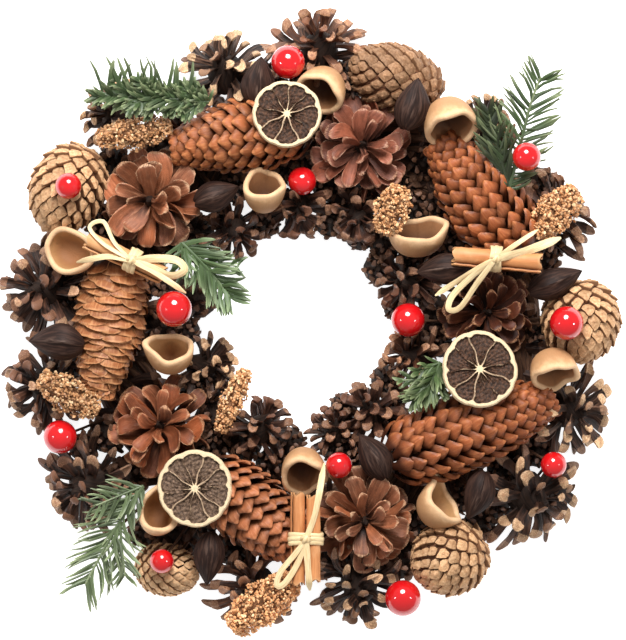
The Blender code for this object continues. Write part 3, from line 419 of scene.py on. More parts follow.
PLATE_STYLES = {
    "kite": PlateStyle(0.48, 55.385, 13.4, 5.9, 2.3, ALMOND, 0.52, 1.12, 0.3, 0.10, 0.06),
    "lens": PlateStyle(0.47, 55.385, 12.0, 6.0, 2.2, ALMOND, 0.46, 1.13, 0.2, 0.06, 0.14),
    "almond": PlateStyle(0.48, 55.385, 14.6, 5.6, 2.5, ALMOND, 0.52, 1.13, 0.3, 0.12, -0.08),
    "wavy": PlateStyle(0.47, 48.0, 13.0, 8.8, 1.1, WAVY, 0.48, 1.12, 0.5, 0.03, 0.0),
}

# Small hidden cones between the pieces, dark as painted shade in the gaps: x, y, radius
HIDDEN_CONES = [
    (-61, 12, 13), (66, 0, 15), (45, -124, 15), (9, 72, 12), (-105, 83, 10), (-51, -53, 14), (-36, -65, 11),
    (-22, -76, 10), (-72, -113, 15), (-61, 46, 11), (-78, -2, 13), (64, 33, 10), (110, -62, 12),
    (9, -127, 10), (25, -75, 9), (-22, 128, 9), (43, -52, 10), (66, 62, 12), (18, 58, 9), (-88, 20, 10),
    (25, 45, 10), (-25, 51, 9), (53, 59, 10), (58, 17, 10), (-74, 17, 10), (53, -10, 10), (-67, -6, 9),
    (-108, -60, 12), (-97, -82, 12), (-41, -121, 11), (53, -107, 10), (88, -106, 10), (119, 72, 10),
    (-4, 82, 9), (-41, 70, 10), (-108, 54, 9), (70, -70, 10), (123, -92, 10), (-81, 90, 9), (-15, 78, 8),
    (22, 68, 8), (33, 64, 8), (48, 69, 8), (-73, 38, 9), (-112, 50, 9), (9, 52, 10), (72, 41, 8),
    (50, 30, 8), (118, -6, 9), (67, -13, 8), (78, -94, 9), (96, -97, 9), (-63, -36, 9), (-52, -66, 9),
    (-57, -106, 9), (-128, -24, 8), (-13, 100, 10), (106, -76, 10), (-12, -95, 9), (38, 40, 10),
    (38, -31, 9), (16, -45, 8), (-52, -34, 9), (121, 30, 10), (18, 121, 9), (-72, 104, 10), (-121, -67, 9),
    (-90, -112, 9), (-14, 61, 9), (34, 27, 9), (87, 88, 11), (96, 84, 10), (99, 98, 9), (44, 6, 8),
    (-12, -64, 9), (118, -69, 10), (17, 130, 8), (58, 82, 11), (43, -39, 9), (10, -67, 8), (18, -66, 8),
    (-48, 53, 8), (99, -79, 9), (18, -123, 9), (-127, 22, 9), (-126, 8, 9), (6, 96, 9), (-30, 78, 9),
    (126, 40, 9), (-112, -100, 9), (-4, 128, 9), (-128, 40, 9), (70, 45, 9), (-122, -2, 9),
]


# Shapes

def unit(vectors):
    """Vectors at length one."""
    return vectors / np.maximum(np.linalg.norm(vectors, axis=-1, keepdims=True), 1e-9)


def stacked(*parts):
    """Numbers of different shapes as one array of vectors."""
    return np.stack(np.broadcast_arrays(*parts), axis=-1)


def once_round(sides):
    """Angles once round, as a row."""
    return math.tau * np.arange(sides)[None, :] / sides


def columns(rows):
    """Each column of a table, its numbers one below another."""
    return (np.array(column, float)[:, None] for column in zip(*rows))


def round_x(place, radius, turn):
    """Points round the X axis, by their place on it."""
    return stacked(place, radius * np.cos(turn), radius * np.sin(turn))


def round_z(radius, turn, height):
    """Points round the Z axis."""
    return stacked(radius * np.cos(turn), radius * np.sin(turn), height)


def wave_on(angle, times, height, chance):
    """Waves along an angle, starting anywhere."""
    return height * np.sin(times * angle + chance.uniform(0, 6))


def bump_at(distance, width):
    """Smooth hill of height one, by the distance from its top."""
    return np.exp(-((distance / width) ** 2))


def wall_quads(rows, sides):
    """Faces between closed rings that follow one another."""
    row = np.arange(rows - 1)[:, None] * sides
    side = np.arange(sides)[None, :]
    beside = (side + 1) % sides
    return stacked(row + side, row + beside, row + sides + beside, row + sides + side).reshape(-1, 4)


def skin(rings, look, grain):
    """Surface through stacks of closed rings, each stack closed by a middle point at both ends.

    The arrays hold copies, rows, sides and three numbers, and one stack alone may leave out the copies.
    The vectors look and grain feed the finish.
    """
    if rings.ndim == 3:
        rings = rings[None]
    copies, rows, sides = rings.shape[:3]
    side = np.arange(sides)
    beside = (side + 1) % sides
    last = (rows - 1) * sides
    pole = rows * sides
    ends = np.concatenate([stacked(pole, beside, side), stacked(pole + 1, last + side, last + beside)])
    shift = np.arange(copies)[:, None, None] * (pole + 2)
    quads = (wall_quads(rows, sides) + shift).reshape(-1, 4)
    tris = (ends + shift).reshape(-1, 3)

    def with_poles(values):
        values = np.broadcast_to(values, rings.shape)
        flat = values.reshape(copies, pole, 3)
        return np.concatenate([flat, values[:, :1].mean(2), values[:, -1:].mean(2)], axis=1).reshape(-1, 3)

    return Surface(with_poles(rings), quads, tris, with_poles(look), with_poles(grain))


def joined(surfaces):
    """Several surfaces of one finish as one."""
    offsets = np.cumsum([0] + [len(surface.points) for surface in surfaces])
    shifted = [
        surface._replace(quads=surface.quads + offset, tris=surface.tris + offset)
        for surface, offset in zip(surfaces, offsets)
    ]
    return Surface(*(np.concatenate(arrays) for arrays in zip(*shifted)))


def axes_at(x, y, z, heading=0.0, lean=0.0):
    """Axes at a place, turned to a heading, their +Z leaning towards it."""
    turn = Matrix.Rotation(math.radians(heading), 4, "Z")
    tilt = Matrix.Rotation(math.radians(lean), 4, "Y")
    return np.array(Matrix.Translation((x, y, z)) @ turn @ tilt)


def put(surface, axes):
    """A surface in other axes."""
    return surface._replace(points=surface.points @ axes[:3, :3].T + axes[:3, 3])


def blades(root, tip, up, half_width, thickness, profile, section=OVAL, bend=0.0, sway=0.0, cupping=0.0,
           roll=0.0, twist=0.0, ripple=0.0, jitter=0.0):
    """Closed blades from roots to tips.

    A bend arches the midline, a sway curves it sideways, and cupping raises both edges. Roll turns the
    whole blade about its midline, and twist turns its tip against its root.
    """
    copies = len(root)

    def each(values):
        return np.broadcast_to(values, copies)[:, None, None]

    share, wide, high, low = (np.array(column, float)[None, :, None] for column in zip(*profile))
    section = np.array(section, float)
    section = np.broadcast_to(section, (copies, *section.shape[-2:]))
    flat, level = section[:, None, :, 0], section[:, None, :, 1]
    chord = tip - root
    length = each(np.linalg.norm(chord, axis=-1))
    along = unit(chord)
    up = np.broadcast_to(up, root.shape)
    above = unit(up - along * (up * along).sum(-1, keepdims=True))
    across = np.cross(above, along)
    arch = 4 * length * share * (1 - share)
    middle = root[:, None] + chord[:, None] * share
    middle = middle + above[:, None] * (each(bend) * arch) + across[:, None] * (each(sway) * arch)
    over = unit(above[:, None] - along[:, None] * (4 * each(bend) * (1 - 2 * share)))
    beside = np.broadcast_to(across[:, None], over.shape)
    angle = each(roll) + each(twist) * share
    cos, sin = np.cos(angle), np.sin(angle)
    beside, over = beside * cos + over * sin, over * cos - beside * sin
    half = each(half_width) * wide
    x = half * flat * (1 + jitter)
    z = 0.5 * each(thickness) * ((1 + level) * high + (1 - level) * low) / 2 * (1 + jitter)
    number = np.arange(copies)[:, None, None]
    wave = ripple * np.sin(9 * share + 5 * flat + number * 2.4) * np.abs(flat)
    z = z + cupping * half * flat**2 + wave
    points = middle[:, :, None] + beside[:, :, None] * x[..., None] + over[:, :, None] * z[..., None]
    look = stacked(share, np.abs(flat), np.clip(0.5 + 0.5 * level, 0, 1))
    return skin(points, look, stacked(x, share * length, number * 7.31))


def tube(path, radius, sides=8, flatness=1.0, roll=0.0, seed=0.0):
    """Tube along one path. Flatness is its thickness against its width, and roll turns it on its path."""
    path = np.asarray(path, float)
    radius, roll = (np.broadcast_to(values, len(path))[:, None] for values in (radius, roll))
    along = unit(np.gradient(path, axis=0))
    sideways = np.cross(UP, along)
    level = np.linalg.norm(sideways, axis=-1, keepdims=True)
    across = unit(np.where(level > 0.05, sideways, AHEAD))
    above = np.cross(along, across)
    turn = once_round(sides)
    x = radius * np.cos(turn)
    z = radius * flatness * np.sin(turn)
    x, z = x * np.cos(roll) - z * np.sin(roll), x * np.sin(roll) + z * np.cos(roll)
    points = path[:, None] + across[:, None] * x[..., None] + above[:, None] * z[..., None]
    run = np.concatenate([[0], np.cumsum(np.linalg.norm(np.diff(path, axis=0), axis=-1))])[:, None]
    look = stacked(run / run[-1], np.abs(np.cos(turn)), 0.5 + 0.5 * np.sin(turn))
    return skin(points, look, stacked(turn * radius, run, seed))


def smooth_path(route, step):
    """Evenly read points of a smooth curve through a route."""
    route = [np.array(point, float) for point in route]
    points = []
    for k in range(len(route) - 1):
        before = route[max(k - 1, 0)]
        start, end = route[k], route[k + 1]
        after = route[min(k + 2, len(route) - 1)]
        parts = max(2, round(float(np.linalg.norm(end - start)) / step))
        for part in range(parts):
            t = part / parts
            b = (end - before) * t
            c = (2 * before - 5 * start + 4 * end - after) * t * t
            d = (3 * start - before - 3 * end + after) * t**3
            points.append((2 * start + b + c + d) / 2)
    return np.array([*points, route[-1]])


# Pieces

TREES = []


def add_piece(name, painted, node):
    """One object from surfaces with their finishes, standing for a node of the frame."""
    whole = joined([surface for _, surface in painted])
    mesh = bpy.data.meshes.new(name)
    corners = np.concatenate([whole.quads.ravel(), whole.tris.ravel()])
    counts = np.concatenate([np.full(len(whole.quads), 4), np.full(len(whole.tris), 3)])
    sorts = [[getattr(surface, key) for _, surface in painted] for key in ("quads", "tris")]
    finishes = np.concatenate([np.full(len(faces), k) for group in sorts for k, faces in enumerate(group)])
    mesh.vertices.add(len(whole.points))
    mesh.vertices.foreach_set("co", (whole.points * MM).astype(np.float32).ravel())
    mesh.loops.add(len(corners))
    mesh.loops.foreach_set("vertex_index", corners.astype(np.int32))
    mesh.polygons.add(len(counts))
    mesh.polygons.foreach_set("loop_start", (np.cumsum(counts) - counts).astype(np.int32))
    mesh.polygons.foreach_set("material_index", finishes.astype(np.int32))
    for key, values in (("look", whole.look), ("grain", whole.grain)):
        attribute = mesh.attributes.new(key, "FLOAT_VECTOR", "POINT")
        attribute.data.foreach_set("vector", values.astype(np.float32).ravel())
    mesh.update(calc_edges=True)
    for finish, _ in painted:
        mesh.materials.append(FINISH[finish])
    mesh.shade_smooth()
    mesh.set_sharp_from_angle(angle=math.radians(SHARP_ANGLE))
    piece = bpy.data.objects.new(name, mesh)
    bpy.context.scene.collection.objects.link(piece)
    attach(piece, BODY)
    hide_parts(node)
    faces = [tuple(face) for face in whole.quads] + [tuple(face) for face in whole.tris]
    TREES.append(BVHTree.FromPolygons([tuple(point) for point in whole.points], faces))


def middle_height(node):
    """Height of the middle of a node's box."""
    low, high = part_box(node)
    return (low.z + high.z) / 2 / MM


def top_height(node):
    """Height of the top of a node's box."""
    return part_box(node)[1].z / MM


def highest_below(x, y):
    """Height of whatever is met first from above."""
    hits = [tree.ray_cast(Vector((x, y, CEILING)), Vector((0, 0, -1)))[0] for tree in TREES]
    return max([0.0, *(hit.z for hit in hits if hit is not None)])


def free_length(start, direction, full):
    """How far a needle may run before it meets a piece."""
    line = Vector(direction)
    reach = full
    for tree in TREES:
        hit = tree.ray_cast(Vector(start) + line * NEEDLE_CLEAR, line, full)
        if hit[0] is not None:
            reach = min(reach, hit[3] + NEEDLE_CLEAR - NEEDLE_GAP)
    return reach


def chance_for(name):
    """Random draws that are the same each run for a piece."""
    return np.random.default_rng([SEED, *name.encode()])


# Finishes

class Paint:
    """Adds nodes to a new material. An input takes a number, a colour or another node's output."""

    def __init__(self, name, roughness, **values):
        self.material = bpy.data.materials.new(name + "_finish")
        self.material.use_nodes = True
        self.tree = self.material.node_tree
        self.shader = self.tree.nodes["Principled BSDF"]
        self.shader.inputs["Roughness"].default_value = roughness
        for key, value in values.items():
            self.shader.inputs[key.replace("_", " ")].default_value = value
        self.look = self.node("SeparateXYZ", {0: self.attribute("look")}).outputs
        self.grain = self.attribute("grain")
        self.seed = self.node("SeparateXYZ", {0: self.grain}).outputs[2]

    def feed(self, socket, value):
        """Link or set one input."""
        if isinstance(value, bpy.types.NodeSocket):
            self.tree.links.new(value, socket)
        elif isinstance(value, tuple) and socket.type == "RGBA":
            socket.default_value = (*value, 1)
        else:
            socket.default_value = value

    def node(self, kind, inputs, **settings):
        """One node with its settings and inputs."""
        node = self.tree.nodes.new("ShaderNode" + kind)
        for key, value in settings.items():
            setattr(node, key, value)
        for key, value in inputs.items():
            self.feed(node.inputs[key], value)
        return node

    def attribute(self, name):
        """Vector kept on the mesh."""
        return self.node("Attribute", {}, attribute_name=name).outputs["Vector"]

    def math(self, kind, first, second):
        """Sum, product and the like of two numbers."""
        return self.node("Math", {0: first, 1: second}, operation=kind).outputs[0]

    def times(self, first, second):
        """Product of two numbers."""
        return self.math("MULTIPLY", first, second)

    def plus(self, first, second, part):
        """A number and a part of another."""
        return self.math("ADD", first, self.times(second, part))

    def step(self, value, low, high):
        """Smooth rise from 0 to 1 between two values."""
        inputs = {"Value": value, "From Min": low, "From Max": high}
        return self.node("MapRange", inputs, interpolation_type="SMOOTHSTEP").outputs["Result"]

    def noise(self, scale, stretch=(1, 1, 1), detail=3.0, rough=0.55):
        """Cloudy noise, stretched along the grain."""
        spread = self.node("VectorMath", {0: self.grain, 1: stretch}, operation="MULTIPLY").outputs[0]
        inputs = {"Vector": spread, "Scale": scale, "Detail": detail, "Roughness": rough}
        return self.node("TexNoise", inputs).outputs["Fac"]

    def own_share(self, shift=0.0):
        """A number of its own for each blade or bead."""
        seed = self.math("ADD", self.seed, shift)
        return self.node("TexWhiteNoise", {"W": seed}, noise_dimensions="1D").outputs["Value"]

    def mix(self, share, first, second, kind="MIX"):
        """Blend of two colours."""
        node = self.node("Mix", {0: share, 6: first, 7: second}, data_type="RGBA", blend_type=kind)
        return node.outputs[2]

    def blend(self, value, low, high, first, second):
        """From one colour to another while a value rises or falls from low to high."""
        return self.mix(self.step(value, low, high), first, second)

    def towards(self, colour, other, share, most):
        """A colour blended with another by a share of a value."""
        return self.mix(self.times(share, most), colour, other)

    def shade(self, colour, share, dark, light):
        """A colour made darker or lighter by a share from 0 to 1."""
        level = self.node("MapRange", {"Value": share, "To Min": dark, "To Max": light}).outputs["Result"]
        return self.mix(1.0, colour, level, "MULTIPLY")

    def done(self, colour, height=None, depth=0.3, strength=0.6):
        """Set the colour and, in millimetres, the relief."""
        self.feed(self.shader.inputs["Base Color"], colour)
        if height is not None:
            bump = self.node("Bump", {"Height": height, "Strength": strength, "Distance": depth * MM})
            self.feed(self.shader.inputs["Normal"], bump.outputs["Normal"])
        return self.material


def scale_finish(name, root, body, light, warm, edge):
    """Cone scale: painted shade towards its root, streaked, some warmer than others, with a thin pale rim at
    its end.
    """
    paint = Paint(name, 0.52, Specular_IOR_Level=0.3)
    share, rim, top = paint.look
    streak = paint.noise(0.9, (1.0, 0.12, 1.0), detail=4)
    fine = paint.noise(2.8, (1.0, 0.35, 1.0))
    cloud = paint.noise(0.22)
    # Painted shade: the scale darkens to the root colour towards its root, where it sinks between the others
    colour = paint.blend(share, 0.15, 0.72, root, body)
    colour = paint.towards(colour, warm, paint.step(paint.own_share(), 0.4, 0.9), 0.9)
    colour = paint.towards(colour, light, paint.step(streak, 0.5, 0.78), 0.8)
    colour = paint.shade(colour, paint.step(streak, 0.25, 0.5), 0.62, 1.0)
    colour = paint.shade(colour, paint.own_share(3.0), 0.5, 1.5)
    colour = paint.shade(colour, paint.step(cloud, 0.3, 0.7), 0.8, 1.2)
    colour = paint.shade(colour, paint.step(top, 0.2, 0.6), 0.6, 1.0)
    sides = paint.times(paint.step(rim, 0.9, 0.99), paint.step(share, 0.5, 0.85))
    border = paint.math("MAXIMUM", sides, paint.step(share, 0.93, 0.98))
    worn = paint.times(paint.step(fine, 0.35, 0.6), 0.85)
    colour = paint.towards(colour, edge, border, worn)
    return paint.done(colour, paint.plus(streak, fine, 0.4), 0.5)


def wedge_finish(name, body, grey, facet, facet_dark, bare=0.3):
    """Dark cone scale with a tan facet on its thick end and a small dark knob in the facet.

    A share of the scales, given as bare, has no tan facet.
    """
    paint = Paint(name, 0.5, Specular_IOR_Level=0.3)
    share, rim, top = paint.look
    streak = paint.noise(0.9, (1.0, 0.14, 1.0), detail=4)
    fine = paint.noise(2.4, (1.0, 0.6, 1.0))
    colour = paint.blend(streak, 0.4, 0.75, body, grey)
    outer_part = paint.times(paint.step(share, 0.35, 0.75), paint.step(paint.own_share(5.0), 0.3, 0.9))
    colour = paint.towards(colour, grey, outer_part, 0.7)
    tone = paint.blend(fine, 0.3, 0.7, facet_dark, facet)
    tone = paint.shade(tone, paint.own_share(), 0.6, 1.3)
    knob = paint.times(paint.step(rim, 0.45, 0.15), paint.step(share, 0.88, 0.92))
    knob = paint.times(knob, paint.step(share, 0.98, 0.95))
    tone = paint.towards(tone, facet_dark, knob, 0.55)
    tone = paint.shade(tone, paint.step(rim, 1.0, 0.8), 0.6, 1.0)
    plain = paint.mix(0.35, grey, facet_dark)
    tone = paint.blend(paint.own_share(9.0), bare, bare + 0.04, plain, tone)
    edge = paint.step(paint.plus(share, fine, 0.05), 0.81, 0.83)
    colour = paint.mix(paint.times(edge, paint.step(top, 0.1, 0.35)), colour, tone)
    return paint.done(colour, paint.plus(streak, fine, 0.5), 0.45)


def plate_finish(name, root, body, light, pale_sides=False):
    """Scale of a long cone: warm and satin, with painted shadow towards its root, paler at its free end, and
    with pale sides or painted shade along its sides.
    """
    paint = Paint(name, 0.46, Specular_IOR_Level=0.32)
    share, rim, top = paint.look
    streak = paint.noise(0.8, (1.0, 0.16, 1.0))
    fine = paint.noise(3.0, (1.0, 0.4, 1.0))
    colour = paint.towards(body, light, paint.step(streak, 0.42, 0.75), 0.7)
    # Painted shadow: the plate darkens to the root colour below the edge of the plate that lies over it
    colour = paint.blend(share, 0.46, 0.78, root, colour)
    colour = paint.shade(colour, paint.own_share(1.0), 0.66, 1.25)
    colour = paint.shade(colour, fine, 0.8, 1.16)
    colour = paint.shade(colour, paint.step(top, 0.15, 0.55), 0.5, 1.0)
    end = paint.step(share, 0.9, 0.97)
    if pale_sides:
        end = paint.math("MAXIMUM", paint.step(rim, 0.9, 1.0), end)
    else:
        # Painted shade along the plate's sides, where the gaps between the plates lie
        colour = paint.shade(colour, paint.step(rim, 1.0, 0.5), 0.62, 1.05)
    colour = paint.towards(colour, light, end, 0.6)
    return paint.done(colour, paint.plus(streak, fine, 0.5), 0.5)


def tile_finish(name, body, light):
    """Tile of a closed cone: mottled, with painted shade where it sinks into the groove."""
    paint = Paint(name, 0.6, Specular_IOR_Level=0.25)
    height, _, umbo = paint.look
    mottle = paint.noise(0.8, detail=5)
    fine = paint.noise(3.5)
    colour = paint.blend(mottle, 0.35, 0.7, body, light)
    colour = paint.shade(colour, paint.own_share(2.0), 0.75, 1.2)
    colour = paint.shade(colour, fine, 0.85, 1.12)
    # Painted shade: the tile turns dark brown where it sinks into the groove between tiles
    colour = paint.blend(height, 0.9, 0.5, colour, (0.17, 0.080, 0.038))
    colour = paint.towards(colour, (0.40, 0.20, 0.10), umbo, 0.35)
    return paint.done(colour, paint.plus(mottle, fine, 0.4), 0.5)


def bark_finish(name, dark, pale):
    """Rough bark or wood along a tube."""
    paint = Paint(name, 0.75, Specular_IOR_Level=0.25)
    streak = paint.noise(0.7, (1.0, 0.12, 1.0), detail=5)
    fine = paint.noise(2.5, (1.0, 0.3, 1.0))
    colour = paint.blend(streak, 0.35, 0.72, dark, pale)
    colour = paint.shade(colour, fine, 0.7, 1.25)
    return paint.done(colour, paint.plus(streak, fine, 0.5), 0.8)


def pod_finish(name, dark, pale, ridge):
    """Dark husk with pale ridge lines."""
    paint = Paint(name, 0.6, Specular_IOR_Level=0.18)
    streak = paint.noise(0.8, (1.0, 0.15, 1.0))
    colour = paint.blend(streak, 0.35, 0.7, dark, pale)
    colour = paint.towards(colour, ridge, paint.look[1], paint.step(streak, 0.45, 0.7))
    return paint.done(colour, streak, 0.4)


def cup_finish(name, inner, deep_shade):
    """Seed cup: smooth and pale outside and on the lip, brown inside, with painted shade deep inside."""
    paint = Paint(name, 0.6, Specular_IOR_Level=0.25)
    inside, lip, level = paint.look
    cloud = paint.noise(0.25, detail=4)
    fine = paint.noise(1.6, (1.0, 0.35, 1.0))
    colour = paint.blend(cloud, 0.3, 0.7, (0.60, 0.33, 0.155), (0.78, 0.48, 0.255))
    colour = paint.blend(level, 0.9, 0.2, colour, (0.46, 0.24, 0.11))
    # Painted shade: the inside darkens towards the bottom of the hollow
    deep = paint.blend(inside, 0.2, 1.0, inner, deep_shade)
    colour = paint.blend(inside, 0.02, 0.12, colour, deep)
    colour = paint.towards(colour, (0.84, 0.57, 0.34), lip, 0.5)
    colour = paint.shade(colour, fine, 0.88, 1.1)
    return paint.done(colour, paint.plus(cloud, fine, 0.3), 0.4)


def catkin_finish(name, deep_grain_shade, outer_grain_light):
    """Gold-tan grains, each with a shade of its own, with painted shade on the grains that lie deeper in and
    painted highlights on a few.
    """
    paint = Paint(name, 0.5, Specular_IOR_Level=0.5)
    colour = paint.mix(paint.own_share(), (0.44, 0.19, 0.072), (0.88, 0.47, 0.21))
    # Painted highlights: about a fifth of the grains take a bright glint colour
    colour = paint.blend(paint.own_share(5.0), 0.78, 0.82, colour, (0.97, 0.66, 0.36))
    # Painted shade: grains deeper in are darker, the outermost lighter
    return paint.done(paint.shade(colour, paint.look[0], deep_grain_shade, outer_grain_light))


def needle_finish(name, body, tip):
    """Green needle with a lighter tip and some of its neighbours darker."""
    paint = Paint(name, 0.45, Specular_IOR_Level=0.4)
    share, rim, _ = paint.look
    colour = paint.blend(share, 0.45, 1.0, body, tip)
    colour = paint.shade(colour, paint.own_share(), 0.55, 1.45)
    return paint.done(paint.shade(colour, rim, 0.75, 1.15))


def lime_finish(name, dark, light):
    """Dried lime: cream rind, membranes and heart round wrinkled, near-black flesh."""
    paint = Paint(name, 0.55, Specular_IOR_Level=0.35)
    pale, rind, _ = paint.look
    coarse = paint.noise(0.7, detail=6, rough=0.68)
    fine = paint.noise(1.9, detail=4, rough=0.7)
    flesh = paint.blend(coarse, 0.38, 0.66, dark, light)
    flesh = paint.towards(flesh, (0.34, 0.22, 0.14), paint.step(fine, 0.6, 0.75), 0.4)
    peel = paint.blend(rind, 0.3, 0.7, (0.56, 0.39, 0.25), (0.90, 0.70, 0.44))
    peel = paint.shade(peel, coarse, 0.75, 1.15)
    colour = paint.blend(pale, 0.3, 0.6, flesh, peel)
    return paint.done(colour, paint.math("ADD", coarse, fine), 0.5, 0.8)


def cinnamon_finish(name, body, light):
    """Orange-tan bark with long fine lines, with painted shade inside the curl."""
    paint = Paint(name, 0.5, Specular_IOR_Level=0.3)
    _, inside, edge = paint.look
    line = paint.noise(1.1, (1.0, 0.05, 1.0), detail=4)
    cloud = paint.noise(0.16, (1.0, 0.5, 1.0))
    colour = paint.blend(line, 0.3, 0.7, body, light)
    colour = paint.towards(colour, (0.78, 0.42, 0.20), paint.step(cloud, 0.5, 0.75), 0.5)
    # Painted shade inside the curl of the bark
    colour = paint.towards(colour, (0.13, 0.045, 0.017), inside, 0.8)
    colour = paint.towards(colour, (0.70, 0.38, 0.17), edge, 0.6)
    return paint.done(colour, line, 0.2)


def raffia_finish(name, dark, pale):
    """Straw ribbon with fibres along it."""
    paint = Paint(name, 0.42, Specular_IOR_Level=0.45)
    fibre = paint.noise(2.2, (1.0, 0.06, 1.0), detail=4)
    cloud = paint.noise(0.2)
    colour = paint.blend(fibre, 0.3, 0.7, dark, pale)
    return paint.done(paint.shade(colour, cloud, 0.85, 1.1), fibre, 0.25)


def berry_finish(name, deep, bright, dent):
    """Glossy red lacquer, with painted shade darker towards the bottom."""
    paint = Paint(name, 0.12, Specular_IOR_Level=0.6, Coat_Weight=0.6, Coat_Roughness=0.05)
    colour = paint.mix(paint.noise(0.12), deep, bright)
    colour = paint.mix(paint.look[1], colour, dent)
    # Painted shade: the berry is darker towards its bottom, by the height kept in look
    return paint.done(paint.shade(colour, paint.look[2], 0.85, 1.05))


# Linear colours and other values of each finish, in the order in which its function takes them
FINISH_VALUES = {
    scale_finish: {
        # The first colour of each rosette finish is the painted shade at the roots of the scales
        "rosette": (
            (0.022, 0.007, 0.004), (0.22, 0.079, 0.039), (0.43, 0.19, 0.10), (0.35, 0.108, 0.043),
            (0.66, 0.40, 0.235),
        ),
        "rosette_red": (
            (0.020, 0.006, 0.003), (0.195, 0.060, 0.026), (0.38, 0.145, 0.066), (0.32, 0.082, 0.028),
            (0.58, 0.31, 0.165),
        ),
        "rosette_pink": (
            (0.024, 0.008, 0.005), (0.19, 0.060, 0.034), (0.34, 0.132, 0.078), (0.27, 0.077, 0.038),
            (0.52, 0.29, 0.185),
        ),
        "rosette_dark": (
            (0.010, 0.003, 0.0015), (0.054, 0.014, 0.006), (0.15, 0.046, 0.020), (0.105, 0.026, 0.010),
            (0.46, 0.23, 0.115),
        ),
    },
    wedge_finish: {
        "dark": ((0.009, 0.004, 0.0025), (0.10, 0.046, 0.028), (0.80, 0.52, 0.30), (0.36, 0.18, 0.09)),
        "few": ((0.010, 0.0045, 0.003), (0.155, 0.066, 0.039), (0.68, 0.41, 0.24), (0.28, 0.13, 0.07), 0.5),
        "pale": ((0.015, 0.007, 0.0045), (0.20, 0.105, 0.067), (0.86, 0.59, 0.35), (0.46, 0.25, 0.13), 0.15),
        "inner": (
            (0.017, 0.0065, 0.004), (0.105, 0.042, 0.024), (0.44, 0.235, 0.135), (0.18, 0.075, 0.040), 0.5,
        ),
        "inner_bar": (
            (0.014, 0.005, 0.003), (0.12, 0.048, 0.027), (0.32, 0.155, 0.088), (0.13, 0.055, 0.030),
        ),
        "dark_bar": ((0.010, 0.0045, 0.003), (0.14, 0.066, 0.042), (0.46, 0.27, 0.165), (0.17, 0.080, 0.048)),
        "brown_bar": ((0.035, 0.013, 0.007), (0.21, 0.092, 0.050), (0.50, 0.28, 0.165), (0.24, 0.105, 0.058)),
        # The hidden finish is dim: painted shade for the scales that fill the gaps
        "hidden": ((0.020, 0.009, 0.006), (0.080, 0.038, 0.024), (0.26, 0.13, 0.075), (0.12, 0.055, 0.03)),
        "brown": ((0.036, 0.012, 0.006), (0.17, 0.064, 0.031), (0.52, 0.28, 0.155), (0.24, 0.10, 0.05)),
    },
    plate_finish: {
        # The first colour of each plate finish is the painted shadow under the plate above
        "kite": ((0.080, 0.021, 0.007), (0.33, 0.096, 0.031), (0.60, 0.235, 0.088)),
        "almond": ((0.080, 0.019, 0.006), (0.31, 0.083, 0.026), (0.53, 0.19, 0.068)),
        "wavy": ((0.050, 0.013, 0.004), (0.33, 0.112, 0.038), (0.64, 0.31, 0.135), True),
        "lens": ((0.095, 0.027, 0.010), (0.37, 0.117, 0.043), (0.62, 0.25, 0.115)),
    },
    tile_finish: {
        "tile": ((0.52, 0.28, 0.135), (0.76, 0.47, 0.255)),
        "tile_pale": ((0.66, 0.38, 0.19), (0.84, 0.55, 0.31)),
        "tile_brown": ((0.24, 0.122, 0.060), (0.42, 0.235, 0.125)),
    },
    bark_finish: {
        "vine": ((0.045, 0.020, 0.011), (0.15, 0.072, 0.038)),
        # The core finish is near black: painted shade for the ring's middle and the hearts of the cones
        "core": ((0.012, 0.006, 0.004), (0.04, 0.020, 0.012)),
        "warm_core": ((0.07, 0.024, 0.010), (0.15, 0.060, 0.026)),
        "catkin_core": ((0.16, 0.07, 0.03), (0.36, 0.18, 0.085)),
    },
    pod_finish: {"pod": ((0.016, 0.007, 0.005), (0.052, 0.024, 0.016), (0.13, 0.085, 0.066))},
    cup_finish: {
        # The second colour of each cup is the painted shade deep inside it
        "cup": ((0.52, 0.29, 0.125), (0.28, 0.120, 0.046)),
        "brown_cup": ((0.40, 0.19, 0.085), (0.06, 0.020, 0.008)),
    },
    # Catkin values: the painted shade on the deepest grains and the painted light on the outermost ones
    catkin_finish: {"catkin": (0.5, 1.12), "pale_catkin": (0.62, 1.3), "brown_catkin": (0.36, 0.9)},
    needle_finish: {
        "green": ((0.070, 0.115, 0.042), (0.25, 0.32, 0.17)),
        "deep_green": ((0.056, 0.088, 0.034), (0.22, 0.26, 0.13)),
        "dark_green": ((0.024, 0.034, 0.014), (0.090, 0.108, 0.048)),
        "pale_green": ((0.108, 0.146, 0.066), (0.28, 0.33, 0.18)),
        "olive": ((0.066, 0.105, 0.036), (0.24, 0.29, 0.14)),
    },
    lime_finish: {
        "lime": ((0.022, 0.010, 0.005), (0.132, 0.060, 0.032)),
        "pale_lime": ((0.055, 0.029, 0.017), (0.27, 0.17, 0.108)),
    },
    cinnamon_finish: {
        "cinnamon": ((0.52, 0.20, 0.07), (0.68, 0.29, 0.11)),
        "pale_cinnamon": ((0.60, 0.27, 0.105), (0.76, 0.39, 0.17)),
    },
    raffia_finish: {"raffia": ((0.72, 0.50, 0.25), (0.94, 0.74, 0.43))},
    berry_finish: {"berry": ((0.55, 0.004, 0.006), (0.68, 0.008, 0.012), (0.10, 0.02, 0.012))},
}
FINISH = {
    name: make(name, *values)
    for make, kinds in FINISH_VALUES.items()
    for name, values in kinds.items()
}


# Open cones and pods

def spindle(rows, sides=14):
    """Turned core along X through pairs of place and radius."""
    place, radius = columns(rows)
    turn = once_round(sides)
    return skin(round_x(place, radius, turn), np.zeros(3), stacked(radius * turn, place, 0))


